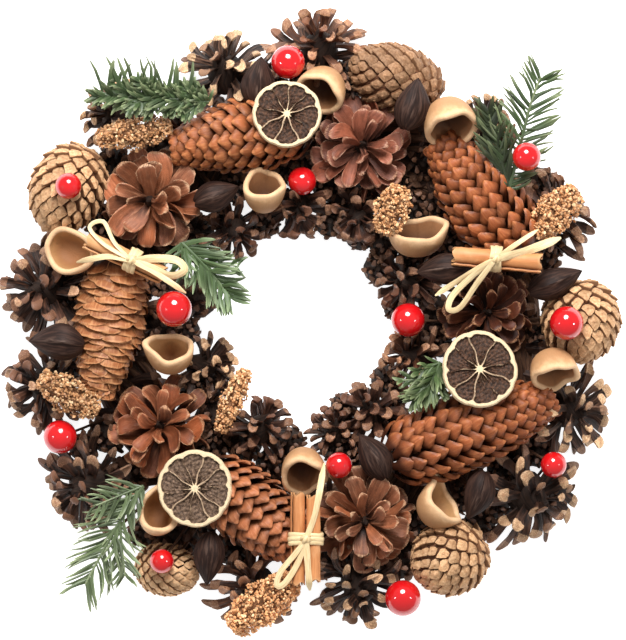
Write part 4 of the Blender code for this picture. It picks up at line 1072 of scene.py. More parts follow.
def cone_scales(chance, radius, height, style, tiers, profile):
    """Scales of an open cone that points up, tier by tier from the lowest and widest."""
    rows = []
    for tier in tiers:
        start = chance.uniform(0, math.tau)
        for k in range(tier.scales):
            turn = start + math.tau * (k + chance.normal(0, 0.15)) / tier.scales
            rise = min(height * (tier.rise + chance.normal(0, 0.045)), height)
            reach = radius * tier.reach * chance.uniform(0.78, 1.0)
            rows.append((turn, reach, rise, height * tier.foot, radius * tier.half_width))
    turn, reach, rise, foot, half = np.array(rows).T
    count = len(turn)
    out = round_z(1, turn, 0)
    root = out * 0.07 * radius + UP * foot[:, None]
    tip = out * reach[:, None] + UP * rise[:, None]
    blend = chance.uniform(0, 1, (count, 1, 1))
    section = np.array(TROUGH[::style.skip]) * (1 - blend) + np.array(RIDGED[::style.skip]) * blend
    roll = chance.normal(0, style.roll, count) * (chance.uniform(0, 1, count) < 0.7)
    half = half * chance.uniform(0.72, 1.16, count)
    thickness = style.thickness * chance.uniform(0.8, 1.15, count)
    return blades(
        root, tip, UP, half, thickness, profile, section,
        bend=chance.normal(0.03, 0.05, count), sway=chance.normal(0, style.sway, count),
        cupping=style.cupping, roll=roll, twist=chance.normal(0, 0.25, count),
        jitter=chance.normal(0, 0.05, (count, len(profile), section.shape[1])),
    )


def cone_axes(name):
    """Axes at an open cone's foot, with +Z along the cone."""
    x, y, z, _, height, lean, heading = OPEN_CONES[name]
    more = 0 if name.startswith("rosette") else EXTRA_LEAN
    axes = axes_at(x, y, z, heading, lean + more)
    axes[:3, 3] -= axes[:3, 2] * height / 2
    return axes


def off_floor(surface):
    """A surface whose lowest parts bend flat on the floor."""
    height = surface.points[:, 2]
    bent = np.log1p(np.exp(np.minimum(height, BEND_BELOW) * BEND_SHARPNESS)) / BEND_SHARPNESS
    points = surface.points.copy()
    points[:, 2] = np.where(height > BEND_BELOW, height, bent)
    return surface._replace(points=points)


def stalk_to_ring(place, radius=2.0):
    """Bent twig from a piece to the middle of the vine ring."""
    place = np.array(place, float)
    foot = unit(place * (1, 1, 0)) * RING_RADIUS + UP * RING_HEIGHT / 2
    middle = (place + foot) / 2 + STALK_BEND
    return tube(smooth_path([place, middle, foot], 3), radius)


def add_open_cone(name, node):
    """One open cone with its core and stalk."""
    _, _, _, radius, height, _, _ = OPEN_CONES[name]
    kind = name.split("_")[0]
    finish = OWN_FINISH.get(name, KIND_FINISH[kind])
    axes = cone_axes(name)
    girth = (0.16 if kind == "rosette" else 0.40) * radius
    core = spindle([
        (0, 2.5), (0.06 * height, girth), (0.35 * height, 0.9 * girth), (0.72 * height, 0.1 * girth),
    ])
    style = CONE_STYLES["broad_rosette" if name in BROAD_ROSETTES else kind]
    chance = chance_for(name)
    scales = cone_scales(chance, radius, height, style, style.tiers, style.profile)
    painted = [
        (finish, off_floor(put(scales, axes))),
        # The cone's heart takes the near-black core finish, painted shade
        ("core", put(put(core, UPRIGHT), axes)),
        ("vine", stalk_to_ring(axes[:3, 3] + axes[:3, 2] * 2.5)),
    ]
    if style.bars:
        bars = cone_scales(chance, radius, height, style, style.bars, BAR)
        painted.append((BAR_FINISH[finish], off_floor(put(bars, axes))))
    add_piece(name, painted, node)


def pod_husk(length, half_width, chance):
    """Pointed husk along X with a sharp keel on top and soft ridges beside it."""
    rows, sides = 26, 36
    share = np.linspace(0, 1, rows)[:, None]
    turn = once_round(sides)
    girth = np.sin(math.pi * np.clip(0.03 + 0.97 * share, 0, 1) ** 0.85) ** 0.72
    girth = half_width * girth * (1 - 0.25 * share**3)
    keel = bump_at(turn - math.pi / 2, 0.16)
    furrow = 0.5 + 0.5 * np.cos(7 * turn + 0.6 * np.sin(4 * share) + chance.uniform(0, 6))
    swell = 1 + 0.16 * keel + 0.07 * furrow
    x = length * (share - 0.5) + 0.6 * np.sin(turn * 2)
    y = girth * np.cos(turn) * swell + 1.5 * np.sin(math.pi * share) * chance.uniform(-1, 1)
    z = girth * np.sin(turn) * swell * 0.8
    ridge = np.maximum(keel, (furrow > 0.93) * 0.35) * np.sin(math.pi * share)
    grain = stacked(turn * half_width, x, chance.uniform(0, 99))
    return skin(stacked(x, y, z), stacked(share, ridge, 0), grain)


def add_pod(name, node):
    """One dark pod with its stalk."""
    x, y, z, heading, length, half_width = DARK_PODS[name]
    husk = put(pod_husk(length, half_width, chance_for(name)), axes_at(x, y, z, heading))
    stalk = stalk_to_ring((x, y, z - 0.3 * half_width), POD_STALK)
    add_piece(name, [("pod", husk), ("vine", stalk)], node)


# Long cones and closed cones

def belly(share):
    """Radius of a long cone at a share of its length, against its widest."""
    return np.sin(math.pi * (0.31 + 0.55 * np.clip(share, 0, 1)))


def spruce_cone(chance, length, radius, style):
    """Plates of a long cone along X, each over the roots of the next."""
    share = np.arange(-0.14, 0.94, style.step / length)
    count = len(share)
    turn = math.radians(style.turn) * np.arange(count) + chance.normal(0, 0.03, count)
    small = 0.42 + 0.58 * belly(share)
    plate = style.length * small * chance.uniform(0.92, 1.06, count)
    reach = np.minimum(share + plate / length, 1.02)
    out = round_x(0, 1, turn)
    slanted = turn + style.slant + chance.normal(0, 0.03, count)
    tip_out = round_x(0, 1, slanted)
    lift = style.lift * chance.uniform(0.92, 1.04, count)
    root = out * (radius * style.root * belly(share))[:, None] + AHEAD * (length * (share - 0.5))[:, None]
    tip_radius = radius * lift * belly(reach) - 0.5
    tip = tip_out * tip_radius[:, None] + AHEAD * (length * (reach - 0.5))[:, None]
    half_width = style.half_width * small * chance.uniform(0.92, 1.08, count)
    return blades(
        root, tip, out, half_width, style.thickness, style.profile,
        bend=style.bend, cupping=-0.2, twist=chance.normal(0, 0.1, count), ripple=style.ripple,
        jitter=chance.normal(0, 0.04, (count, len(style.profile), len(OVAL))),
    )


def add_spruce_cone(name):
    """One long cone lying on the ring."""
    x, y, heading, length, radius, style = SPRUCE_CONES[name]
    axes = axes_at(x, y, middle_height(name), heading)
    inset = PLATE_STYLES[style].root + 0.06
    shares = np.linspace(0.0, 0.97, 12)
    core = spindle([(length * (share - 0.5), radius * inset * float(belly(share))) for share in shares], 20)
    plates = spruce_cone(chance_for(name), length, radius, PLATE_STYLES[style])
    add_piece(name, [(style, put(plates, axes)), ("warm_core", put(core, axes))], name)


def cell_reach(place, ahead, beside, angles):
    """How far each tile runs in its own plane before it meets the tiles round it."""
    gap = place[None] - place[:, None]
    u = (gap * ahead[:, None]).sum(-1)[..., None]
    v = (gap * beside[:, None]).sum(-1)[..., None]
    towards = u * np.cos(angles) + v * np.sin(angles)
    square = (gap**2).sum(-1)[..., None]
    reach = np.where(towards > 1e-6, square / (2 * np.maximum(towards, 1e-6)), 1e9)
    return (reach**-CELL_SHARPNESS).sum(1) ** (-1 / CELL_SHARPNESS)


def tiles(chance, half_length, half_width, half_height, tooth, gape_heading, count=126, sides=16):
    """Raised tiles over an egg along X, in the spirals of a closed cone, with wide gaps on one side."""
    share = (np.arange(count) + 0.5) / count
    x = 1 - 2 * share**0.92
    ring = np.sqrt(1 - x * x)
    turn = GOLDEN * np.arange(count) + chance.normal(0, 0.03, count)
    unit_place = round_x(x, ring, turn)
    size = np.array([half_length, half_width, half_height])
    place = unit_place * size
    normal = unit(unit_place / size)
    ahead = unit(AHEAD - normal * normal[:, :1])
    beside = np.cross(normal, ahead)
    angles = once_round(sides)[0]
    reach = np.minimum(cell_reach(place, ahead, beside, angles), WIDEST_TILE)[:, None, :]
    grow, rise, level, umbo = (column[None, :] for column in columns(TILE_ROWS))
    way = math.radians(gape_heading)
    facing = unit_place @ np.array([math.cos(way), math.sin(way), 0.2])
    gape = np.clip((facing - 0.2) / 0.5, 0, 1)[:, None, None]
    reach = reach * (1 - 0.24 * gape)
    ragged = 1 - np.abs(chance.normal(0, 0.035, (count, 1, sides))) * (grow > 0.85)
    point = 1 + tooth * np.maximum(-np.cos(angles), 0)[None, None] ** 6 * (grow > 0.7)
    u = grow * reach * ragged * point * np.cos(angles)
    v = grow * reach * ragged * np.sin(angles)
    drop = (u * u + v * v) / (2.4 * half_width)
    tilt = TILE_TILT * chance.uniform(0.6, 1.3, (count, 1, 1))
    lift = rise + chance.uniform(-0.35, 0.35, (count, 1, 1)) + 0.8 * gape - drop - tilt * u
    points = (
        place[:, None, None] + ahead[:, None, None] * u[..., None]
        + beside[:, None, None] * v[..., None] + normal[:, None, None] * lift[..., None]
    )
    return skin(points, stacked(level, grow, umbo), stacked(u, v, np.arange(count)[:, None, None] * 5.7))


def add_sandy_cone(name):
    """One closed cone with its stalk."""
    x, y, half_length, half_width, half_height, heading, tooth, gape_side, finish = SANDY_CONES[name]
    z = half_height + SANDY_RAISE
    axes = axes_at(x, y, z, heading)
    sizes = [half - TILE_RISE for half in (half_length, half_width, half_height)]
    turns = np.linspace(-1.5, 1.5, 13)
    egg = [(sizes[0] * math.sin(turn) * EGG_INSET, sizes[1] * math.cos(turn) * EGG_INSET) for turn in turns]
    painted = [
        (finish, put(tiles(chance_for(name), *sizes, tooth, gape_side - heading), axes)),
        ("warm_core", put(spindle(egg, 24), axes)),
        ("vine", stalk_to_ring((x, y, z))),
    ]
    add_piece(name, painted, name)


# Cups, catkins, sprays, limes

def cup_shell(half_length, half_width, depth, point_angle, point, chance):
    """Thick-walled cup that opens up, its rim's middle at the origin, with a pinched point on the rim."""
    half_wall = CUP_WALL / 2
    steep = math.pi / 2
    # Rows up the outside, over the lip and down the inside: girth, wall, height, lip, inner side
    rows = [
        (math.sin(t) ** 0.75, 0, -math.cos(t) ** 0.9 * depth, 0, 0)
        for t in np.linspace(0.08, steep - 0.12, 12)
    ]
    rows += [
        (1, -half_wall * (1 - math.cos(t)), half_wall * math.sin(t), 1, 0)
        for t in np.linspace(0, math.pi, 7)
    ]
    rows += [
        (math.sin(t) ** 0.7, -CUP_WALL, -0.84 * math.cos(t) * depth, 0, 1)
        for t in np.linspace(steep - 0.1, 0.08, 11)
    ]
    girth, wall, height, is_lip, is_inner = columns(rows)
    turn = once_round(56)
    away = (turn - math.radians(point_angle) + math.pi) % math.tau - math.pi
    near_rim = np.clip(1 + height / depth, 0, 1) ** 2.2
    pinch = point * bump_at(away, 0.34) * near_rim
    wobble = 1 + wave_on(turn, 3, 0.035, chance) + wave_on(turn, 5, 0.02, chance)
    out = (1 + pinch) * (1 + (wobble - 1) * near_rim)
    x = (half_length + wall) * girth * np.cos(turn) * out
    y = (half_width + wall) * girth * np.sin(turn) * out
    wave = wave_on(turn, 2, 1.1, chance) + wave_on(turn, 5, 0.5, chance)
    z = height + near_rim * (wave - 1.2) + pinch * 9
    deep = np.clip(-height / depth, 0, 1)
    look = stacked(is_inner * (0.15 + deep), is_lip, near_rim)
    return skin(stacked(x, y, z), look, stacked(turn * half_width, height, chance.uniform(0, 99)))


def add_cup(name):
    """One seed cup."""
    x, y, half_length, half_width, depth, lean, heading, point_angle, point, finish = CUP_PODS[name]
    z = top_height(name) - half_length * math.sin(math.radians(lean))
    shell = cup_shell(half_length, half_width, depth, point_angle, point, chance_for(name))
    add_piece(name, [(finish, put(shell, axes_at(x, y, z, heading, lean)))], name)


def grain_template():
    """Points and faces of a small twenty-sided grain."""
    golden_ratio = (1 + math.sqrt(5)) / 2
    points = []
    for a in (-1, 1):
        for b in (-golden_ratio, golden_ratio):
            points += [(0, a, b), (a, b, 0), (b, 0, a)]
    points = unit(np.array(points))
    gap = np.linalg.norm(points[:, None] - points[None], axis=-1)
    near = (gap > 0.1) & (gap < 1.2)
    faces = []
    for a, b, c in combinations(range(12), 3):
        if near[a, b] and near[b, c] and near[a, c]:
            outward = np.dot(np.cross(points[b] - points[a], points[c] - points[a]), points[a]) > 0
            faces.append((a, b, c) if outward else (a, c, b))
    return points, np.array(faces)


GRAIN_POINTS, GRAIN_FACES = grain_template()


def grains(place, size, chance, look):
    """Irregular grains at places."""
    count = len(place)
    shape = GRAIN_POINTS[None] * chance.uniform(0.6, 1.25, (count, 12, 1)) * np.reshape(size, (-1, 1, 1))
    stretch = chance.uniform(0.7, 1.3, (count, 1, 3))
    points = place[:, None] + shape * stretch
    number = np.arange(count)[:, None, None]
    look = np.broadcast_to(np.reshape(look, (-1, 1, 1)), points.shape)
    grain = np.broadcast_to(number * 3.7 * UP, points.shape)
    rows = [array.reshape(-1, 3) for array in (points, GRAIN_FACES[None] + number * 12, look, grain)]
    return Surface(rows[0], np.zeros((0, 4), int), *rows[1:])


def add_catkin(name):
    """One grainy catkin."""
    x, y, heading, length, radius, finish = CATKINS[name]
    chance = chance_for(name)
    count = int(length * radius * GRAINS_PER_AREA)
    share = chance.uniform(0.0, 1.0, count)
    turn = chance.uniform(0, math.tau, count)
    lumps = 1.06 + 0.16 * np.sin(5 * turn + 9 * share) + 0.13 * np.sin(23 * share + 3 * turn)
    full = radius * (0.35 + 0.65 * np.sin(math.pi * share) ** 0.6) * lumps
    # How far out each grain lies also sets its painted shade in the finish
    depth = chance.uniform(0, 1, count) ** 0.5
    out = full * (0.62 + 0.36 * depth)
    size = chance.uniform(0.45, 1.0, count)
    place = round_x(length * (share - 0.5) * 0.98, out, turn)
    axes = axes_at(x, y, top_height(name) - radius, heading)
    core = spindle([
        (length * (k - 0.5) * 0.94, radius * 0.62 * (0.35 + 0.65 * math.sin(math.pi * k) ** 0.6))
        for k in np.linspace(0.02, 0.98, 9)
    ])
    painted = [(finish, put(grains(place, size, chance, depth), axes)), ("catkin_core", put(core, axes))]
    add_piece(name, painted, name)


def way_at(turn, rise):
    """Direction at an angle in the plane and a height for each step ahead."""
    return np.array([math.cos(turn), math.sin(turn), rise])


def needles_on(stem, count, length, chance, spread, rises, starts):
    """Roots and tips of the needles of one stem, shorter towards its start on either side."""
    roots = []
    tips = []
    for k in range(count):
        share = (k + chance.uniform(0, 1)) / count
        place = share * (len(stem) - 1)
        leg = min(int(place), len(stem) - 2)
        root = stem[leg] + (stem[leg + 1] - stem[leg]) * (place - leg)
        along = math.atan2(*(stem[leg + 1] - stem[leg])[1::-1])
        side = 1 if k % 2 else -1
        turn = along + side * math.radians(chance.uniform(*spread)) * (1.1 - 0.25 * share)
        rise = math.radians(chance.uniform(*rises))
        way = way_at(turn, 0) * math.cos(rise) + UP * math.sin(rise)
        first = starts[k % 2 == 0]
        near_start = first + (1 - first) * min(1, share / 0.45)
        full = length * chance.uniform(0.78, 1.0) * (1.0 - 0.45 * share**2) * near_start
        reach = free_length(root, way, full)
        if reach > 0.3 * full:
            roots.append(root)
            tips.append(root + way * reach)
    return roots, tips


def tall_needles(stem, count, length, chance):
    """Roots and tips of the longer needles that stand away from the upper side of a stem."""
    roots = []
    tips = []
    for k in range(count):
        place = int((0.3 + 0.68 * k / count) * (len(stem) - 1))
        lean = math.radians(chance.uniform(-16, 26))
        way = np.array([-math.sin(lean), math.cos(lean), chance.uniform(0.1, 0.5)])
        roots.append(stem[place])
        tips.append(stem[place] + way * length * chance.uniform(1.1, 1.45))
    return roots, tips


def add_spray(name):
    """One fir spray: a stem, side twigs, and needles that stop where they meet a piece."""
    spray = FIR_SPRAYS[name]
    length = spray.length
    chance = chance_for(name)
    stem = smooth_path([(x, y, STEM_HEIGHT) for x, y in spray.route], 5)
    stem[:, 2] += 1.2 * np.sin(np.linspace(0, math.pi, len(stem)))
    stems = [tube(stem, np.linspace(1.1, 0.5, len(stem)))]
    ways = chance, spray.spread, spray.rises
    roots, tips = needles_on(stem, spray.needles, length, *ways, spray.starts)
    more_roots, more_tips = tall_needles(stem, spray.tall, length, chance)
    roots += more_roots
    tips += more_tips
    for k in range(spray.twigs):
        share = 0.06 + 0.74 * k / spray.twigs
        place = int(share * (len(stem) - 1))
        along = unit(stem[place + 1] - stem[place])
        side = 1 if k % 2 else -1
        turn = math.atan2(along[1], along[0]) + side * math.radians(chance.uniform(32, 50))
        way = way_at(turn, chance.uniform(-0.05, 0.4))
        full = length * spray.twig_share * chance.uniform(0.8, 1.1)
        reach = min(full, free_length(stem[place], way, full))
        if reach < SHORTEST_TWIG:
            continue
        twig = smooth_path([stem[place], stem[place] + way * reach], 3)
        stems.append(tube(twig, np.linspace(0.7, 0.35, len(twig))))
        twig_needle = length * spray.twig_share * 0.7
        more_roots, more_tips = needles_on(twig, spray.on_twig, twig_needle, *ways, (1, 1))
        roots += more_roots
        tips += more_tips
    count = len(roots)
    half_width = chance.uniform(0.8, 1.15, count) * (0.8 if length > LONG_NEEDLE else 1.05)
    needles = blades(
        np.array(roots), np.array(tips), UP, half_width, NEEDLE_THICKNESS, NEEDLE, DIAMOND,
        bend=chance.normal(-0.03, 0.06, count), sway=chance.normal(0, 0.07, count),
        twist=chance.normal(0, 0.6, count),
    )
    wire = stalk_to_ring(stem[len(stem) // 2], SPRAY_WIRE)
    painted = [(spray.finish, joined([needles, *stems])), ("vine", wire)]
    add_piece(name, painted, name.removesuffix("_foot"))


def lime_disc(radius, wedges, first, chance):
    """Dried slice in the XY plane: raised rind, thin membranes, a star in the middle and sunken flesh."""
    turn = once_round(160)
    spacing = math.tau * (np.arange(wedges) + chance.uniform(-0.2, 0.2, wedges)) / wedges
    edges = np.radians(first) + spacing
    strength = chance.choice([0.25, 0.5, 0.8, 1.0], wedges)
    away = (turn[..., None] - edges + math.pi) % math.tau - math.pi
    nearest = np.abs(away).min(-1) * radius
    outline = 1 + wave_on(turn, 2, 0.016, chance) + wave_on(turn, 3, 0.012, chance)
    outline = radius * (outline - 0.022 * bump_at(nearest, 2.0))
    reach = np.concatenate([np.linspace(0.03, 0.84, 28), RIND_ROWS])[:, None]
    deep = reach[..., None]
    bent = away + 0.05 * np.sin(9 * deep + 5 * edges)
    width = 0.24 * (0.5 + strength) * (1 + 0.9 * np.abs(deep - 0.45))
    broken = 0.55 + 0.45 * np.sin(13 * deep + 7 * edges)
    membrane = (bump_at(bent * deep * radius, width) * np.maximum(strength, broken)).max(-1)
    rays = bump_at(np.sin(wedges * 1.5 * (turn - edges[0])) * reach * radius, 0.8) * (reach < 0.34)
    inner_rind = 0.885 - 0.045 * bump_at(nearest, 1.7) + 0.008 * np.sin(23 * turn)
    rind = np.clip((reach - inner_rind) / 0.018, 0, 1)
    star = np.clip((0.11 + 0.07 * bump_at(nearest * 0.2, 0.5) - reach) / 0.03, 0, 1)
    membrane = np.maximum(membrane, 0.7 * rays) * (1 - rind) * np.clip((reach - 0.08) / 0.05, 0, 1)
    firm = np.maximum(rind, star)
    pale = np.maximum(firm, membrane)
    wrinkle = 0.4 * np.sin(11 * turn + 17 * reach) * np.sin(31 * reach + 3 * turn)
    flesh = -1.2 + wrinkle + 0.2 * np.sin(37 * turn + 9 * reach)
    rounded = -1.4 * np.clip((reach - 0.955) / 0.045, 0, 1) ** 2
    high = LIME_THICKNESS / 2 + np.where(pale > 0.3, pale * 0.25, flesh * (1 - pale)) + rounded
    out = outline * reach
    points = np.concatenate([round_z(out, turn, -high), round_z(out, turn, high)[::-1]])
    look = stacked(pale, firm, reach)
    look = np.concatenate([look, look[::-1]])
    return skin(points, look, stacked(points[..., 0], points[..., 1], chance.uniform(0, 99)))


def add_lime(name):
    """One dried lime slice."""
    x, y, radius, lean, heading, wedges, first, finish = LIME_SLICES[name]
    disc = lime_disc(radius, wedges, first - heading, chance_for(name))
    axes = axes_at(x, y, middle_height(name) + LIME_RAISE, heading, lean)
    add_piece(name, [(finish, put(disc, axes))], name)


# Cinnamon and raffia

def quill(length, radius, opening, turns, chance):
    """Rolled bark along X, its cross-section a spiral band that starts at an angle."""
    steps, rows = 52, 26
    sides = 2 * steps
    share = np.linspace(0, 1, steps)
    angle = math.radians(opening) + share * math.tau * turns
    outer = radius - radius * 0.30 * share * turns
    inner = np.maximum(outer - radius * 0.17, 0.3)
    section = np.concatenate([outer, inner[::-1]])
    angle = np.concatenate([angle, angle[::-1]])
    place = np.linspace(-length / 2, length / 2, rows)[:, None]
    swell = 1 + wave_on(place, 0.23, 0.025, chance) + 0.02 * np.sin(place * 0.9 + 2 * angle)
    to_end = np.abs(place / (length / 2))
    ragged = wave_on(angle, 3, 0.9, chance) * to_end**12
    points = round_x(place + ragged, section * swell, angle)
    is_inner = np.arange(sides) >= steps
    deep = np.clip(np.concatenate([share, share[::-1]]) * turns - 0.95, 0, 1)
    # The second look value marks where the finish paints shade inside the curl
    look = stacked(0, np.maximum(is_inner, deep), to_end**30)
    grain = stacked(section * angle, place, chance.uniform(0, 99))
    k = np.arange(steps - 1)
    start = stacked(k, sides - 1 - k, sides - 2 - k, k + 1)
    end = start[:, ::-1] + (rows - 1) * sides
    quads = np.concatenate([wall_quads(rows, sides), start, end])
    points, look, grain = (array.reshape(-1, 3) for array in (points, look, grain))
    return Surface(points, quads, np.zeros((0, 3), int), look, grain)


def add_cinnamon(side):
    """One or two sticks lying side by side."""
    name = "cinnamon_" + side
    x, y, heading, length, half_width, sticks, finish = CINNAMON[side]
    chance = chance_for(name)
    if sticks == 1:
        parts = [quill(length, half_width, 150, 1.7, chance)]
    else:
        parts = [
            put(
                quill(length * (1 - 0.03 * hand), half_width, 90 - 60 * hand, 1.6, chance),
                axes_at(0, hand * half_width * STICK_SHIFT, 0),
            )
            for hand in (-1, 1)
        ]
    axes = axes_at(x, y, middle_height(name), heading)
    add_piece(name, [(finish, put(joined(parts), axes))], name)


def band(half_width, half_height):
    """Raffia wound round a stick that lies along X, as strands side by side."""
    turn = np.linspace(0, math.tau * 1.04, 44) + 1.9
    run = np.linspace(0, 1, len(turn))[:, None] * half_width * 6
    around = once_round(8)
    wide = BAND_BREADTH / BAND_STRANDS * 0.62 * np.cos(around)
    wound = []
    for strand in range(BAND_STRANDS):
        high = half_height + 0.75 + 0.25 * (strand % 2)
        flat = (half_width - half_height) * np.sign(np.cos(turn)) * np.abs(np.cos(turn)) ** 0.3
        place = BAND_BREADTH * ((strand + 0.5) / BAND_STRANDS - 0.5)
        x = place + 0.35 * np.sin(2 * turn + strand)
        path = stacked(x, flat + high * np.cos(turn), high * np.sin(turn))
        along = unit(np.gradient(path, axis=0))
        out = np.cross(along, np.broadcast_to(AHEAD, along.shape))
        points = path[:, None] - AHEAD * wide[..., None] + out[:, None] * (0.45 * np.sin(around))[..., None]
        wound.append(skin(points, np.zeros(3), stacked(wide, run, strand * 9.1)))
    return joined(wound)


def knot():
    """Small knot of wraps round the crossing."""
    wraps = []
    turn = np.linspace(0, math.tau, 20)
    for k in range(4):
        size = KNOT_RADIUS * (0.78 - 0.06 * k)
        circle = stacked(size * np.cos(turn), size * 0.75 * np.sin(turn), 0.5 * k - 1 + 0.5 * np.sin(turn))
        tilt = Matrix.Rotation(k * math.pi / 4 + 0.3, 3, "Z") @ Matrix.Rotation(0.9 + 0.5 * k, 3, "X")
        wraps.append(tube(circle @ np.array(tilt).T, 0.95, flatness=0.6, seed=k * 3.3))
    return joined(wraps)


def ribbon_path(route, start):
    """Route of a ribbon from a knot, laid over what is below it and pulled smooth."""
    flat = smooth_path([(start[0] + dx, start[1] + dy, start[2]) for dx, dy in route], 1.6)
    heights = []
    for x, y, _ in flat:
        below = max(highest_below(x + dx, y + dy) for dx in (-1.2, 1.2) for dy in (-1.2, 1.2))
        heights.append(max(below + RIBBON_GAP, start[2] - RIBBON_DROP))
    reach = np.linalg.norm(flat[:, :2] - np.array(start[:2]), axis=-1)
    lowest = np.where(reach < KNOT_RADIUS, start[2], np.array(heights))
    heights = lowest
    for _ in range(SMOOTH_ROUNDS):
        relaxed = heights.copy()
        relaxed[1:-1] = (heights[:-2] + heights[2:]) / 2
        heights = np.maximum(relaxed, lowest)
    flat[:, 2] = heights
    return flat


def add_raffia(side):
    """Raffia band, knot, loops and tails of one bundle."""
    name = "raffia_" + side
    x, y, heading, _, half_width, sticks, _ = CINNAMON[side]
    offset, runs = RAFFIA[side]
    axes = axes_at(x, y, middle_height("cinnamon_" + side), heading) @ axes_at(offset, 0, 0)
    wide = half_width if sticks == 1 else half_width * (1 + STICK_SHIFT)
    lift = half_width + KNOT_GAP + KNOT_RADIUS
    start = (axes @ np.array([0, 0, lift - 1.2, 1]))[:3]
    parts = [put(band(wide, half_width), axes), put(knot(), axes_at(*start))]
    for k, (half, route) in enumerate(runs):
        path = ribbon_path(route, start + UP * (0.35 * k - 0.4))
        share = np.linspace(0, 1, len(path))
        end = 0.55 + 3 * (1 - share) if route[0] == route[-1] else 0.25 + 4 * (1 - share)
        taper = np.minimum(np.minimum(1, 0.55 + 3 * share), end)
        roll = 0.5 * np.sin(5 * share + k)
        parts.append(tube(path, half * taper, flatness=RIBBON_FLATNESS, roll=roll, seed=11.0 * k))
    add_piece(name, [("raffia", joined(parts))], name)


# Berries and ring

def add_berry(name):
    """Glossy berry with a small dent and a wire to the ring."""
    x, y, radius = BERRIES[name]
    tilt = math.pi * np.linspace(0.02, 0.98, 34)[:, None]
    turn = once_round(44)
    dent = 1 - 0.10 * bump_at(tilt, 0.22)
    out = radius * np.sin(tilt) * dent
    high = -radius * np.cos(tilt) * dent
    points = round_z(out, turn, high)
    # The third look value is the height, which the finish turns into painted shade towards the bottom
    look = stacked(0, bump_at(tilt, 0.10), 0.5 + 0.5 * high / radius)
    z = top_height(name) - radius
    ball = put(skin(points, look, points + np.array([x, y, 0])), axes_at(x, y, z))
    wire = stalk_to_ring((x, y, z - radius * 0.9), BERRY_WIRE)
    add_piece(name, [("berry", ball), ("vine", wire)], name)


def add_vine_ring(strands=15, twists=4):
    """Wide, flat ring of vine strands wound round a near-black middle, which is painted shade between the
    strands.
    """
    chance = chance_for("vine_ring")
    turn = np.linspace(0, math.tau * 1.005, 160)
    wound = []
    for strand in range(strands):
        phase = twists * turn + math.tau * strand / strands + 0.25 * np.sin(3 * turn + strand)
        thick = chance.uniform(2.1, 3.0)
        out = RING_RADIUS + (RING_HALF_WIDTH - thick - 0.6) * np.cos(phase)
        high = RING_HEIGHT / 2 + (RING_HEIGHT / 2 - thick) * np.sin(phase) * 0.97
        knots = 1 + 0.12 * np.sin(17 * turn + strand) + 0.1 * np.sin(41 * turn + 2 * strand)
        radius = np.minimum(thick * knots, high - 0.05)
        wound.append(tube(round_z(out, turn, high), radius, sides=6, seed=strand * 13.0))
    middle = round_z(RING_RADIUS, turn, RING_HEIGHT * 0.46)
    core = tube(middle, RING_HALF_WIDTH - 4, sides=12, flatness=0.34)
    add_piece("vine_ring_strands", [("vine", joined(wound)), ("core", core)], "vine_ring")


def add_filling(count=100):
    """Dark scales of small cones that lie on the ring and fill the gaps between the pieces; their dark finish
    is painted shade.
    """
    chance = chance_for("filling_scales")
    turn = math.tau * (np.arange(count) + chance.uniform(0, 1, count)) / count
    start = RING_RADIUS + chance.uniform(-10, 10, count)
    root = round_z(start, turn, chance.uniform(8, 11, count))
    inward = (np.arange(count) % 2) * math.pi
    way = turn + inward + chance.normal(0, 0.55, count)
    length = chance.uniform(19, 27, count)
    rise = chance.uniform(0.0, 0.5, count)
    tip = root + length[:, None] * round_z(1, way, rise)
    scales = [
        blades(
            root, tip, UP, chance.uniform(2.8, 4.0, count), chance.uniform(2.6, 3.8, count), WEDGE, RIDGED,
            bend=chance.normal(0.03, 0.05, count), sway=chance.normal(0, 0.08, count),
            roll=chance.normal(0, 0.5, count),
        )
    ]
    cores = []
    style = CONE_STYLES["hidden"]
    for x, y, radius in HIDDEN_CONES:
        axes = axes_at(x, y, HIDDEN_FOOT)
        small = cone_scales(chance, radius, HIDDEN_HEIGHT, style, style.tiers, style.profile)
        scales.append(put(small, axes))
        core = spindle([(0, 2), (2, 0.85 * radius), (8, 0.6 * radius), (15, 0.15 * radius)])
        cores.append(put(put(core, UPRIGHT), axes))
    painted = [("hidden", off_floor(joined(scales))), ("core", joined(cores))]
    add_piece("filling_scales", painted, "vine_ring")


# Camera, light and floor

def place_in_scene(name, data, place, turn=(0, 0, 0)):
    """Object for a camera, a light or a floor, in metres."""
    holder = bpy.data.objects.new(name, data)
    holder.location = place
    holder.rotation_euler = turn
    bpy.context.scene.collection.objects.link(holder)
    return holder


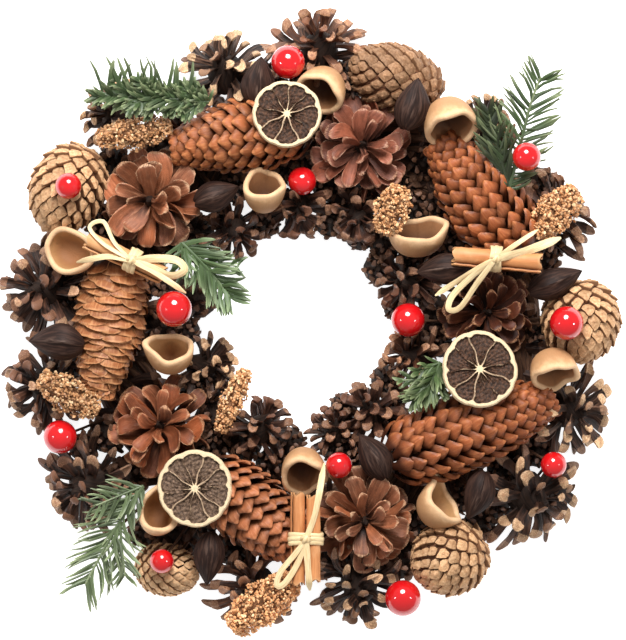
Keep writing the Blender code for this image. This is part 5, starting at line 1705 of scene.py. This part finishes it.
def add_camera():
    """Camera straight above the wreath."""
    camera = bpy.data.cameras.new("camera")
    camera.sensor_fit = "VERTICAL"
    camera.sensor_height = SENSOR
    camera.lens = SENSOR * (VIEW_HEIGHT - PIXEL_HEIGHT) / (PICTURE_HEIGHT * PIXEL)
    camera.clip_end = 10
    bpy.context.scene.camera = place_in_scene("camera", camera, (0, 0, VIEW_HEIGHT * MM))


def add_lamp(name, way, size, power):
    """Soft light that looks at the wreath."""
    light = bpy.data.lights.new(name, "AREA")
    light.shape = "DISK"
    light.size = size
    light.energy = power
    line = Vector(way).normalized()
    place_in_scene(name, light, line * LAMP_DISTANCE, line.to_track_quat("Z", "Y").to_euler())


def add_floor():
    """Plain pale floor."""
    half = FLOOR_HALF
    corners = [(-half, -half, 0), (half, -half, 0), (half, half, 0), (-half, half, 0)]
    mesh = bpy.data.meshes.new("floor")
    mesh.from_pydata(corners, [], [(0, 1, 2, 3)])
    material = bpy.data.materials.new("floor_white")
    material.use_nodes = True
    inputs = material.node_tree.nodes["Principled BSDF"].inputs
    inputs["Base Color"].default_value = FLOOR_WHITE
    inputs["Emission Color"].default_value = WHITE
    inputs["Emission Strength"].default_value = FLOOR_GLOW
    inputs["Roughness"].default_value = FLOOR_ROUGHNESS
    mesh.materials.append(material)
    floor = place_in_scene("floor", mesh, (0, 0, 0))


def add_world():
    """White surroundings that fill the shadows."""
    world = bpy.data.worlds.new("white_room")
    world.use_nodes = True
    inputs = world.node_tree.nodes["Background"].inputs
    inputs["Color"].default_value = WHITE
    inputs["Strength"].default_value = SKY
    bpy.context.scene.world = world
    bpy.context.scene.view_settings.view_transform = "Standard"


add_camera()
add_world()
add_floor()
for lamp, values in LAMPS.items():
    add_lamp(lamp, *values)

add_vine_ring()
add_filling()
for table, add in ((SPRUCE_CONES, add_spruce_cone), (SANDY_CONES, add_sandy_cone), (CUP_PODS, add_cup)):
    for name in table:
        add(name)
for cluster, members in CLUSTERS.items():
    for member in members:
        if member in OPEN_CONES:
            add_open_cone(member, cluster)
        else:
            add_pod(member, cluster)
for table, add in (
    (CATKINS, add_catkin), (CINNAMON, add_cinnamon), (LIME_SLICES, add_lime), (FIR_SPRAYS, add_spray),
    (BERRIES, add_berry), (RAFFIA, add_raffia),
):
    for name in table:
        add(name)
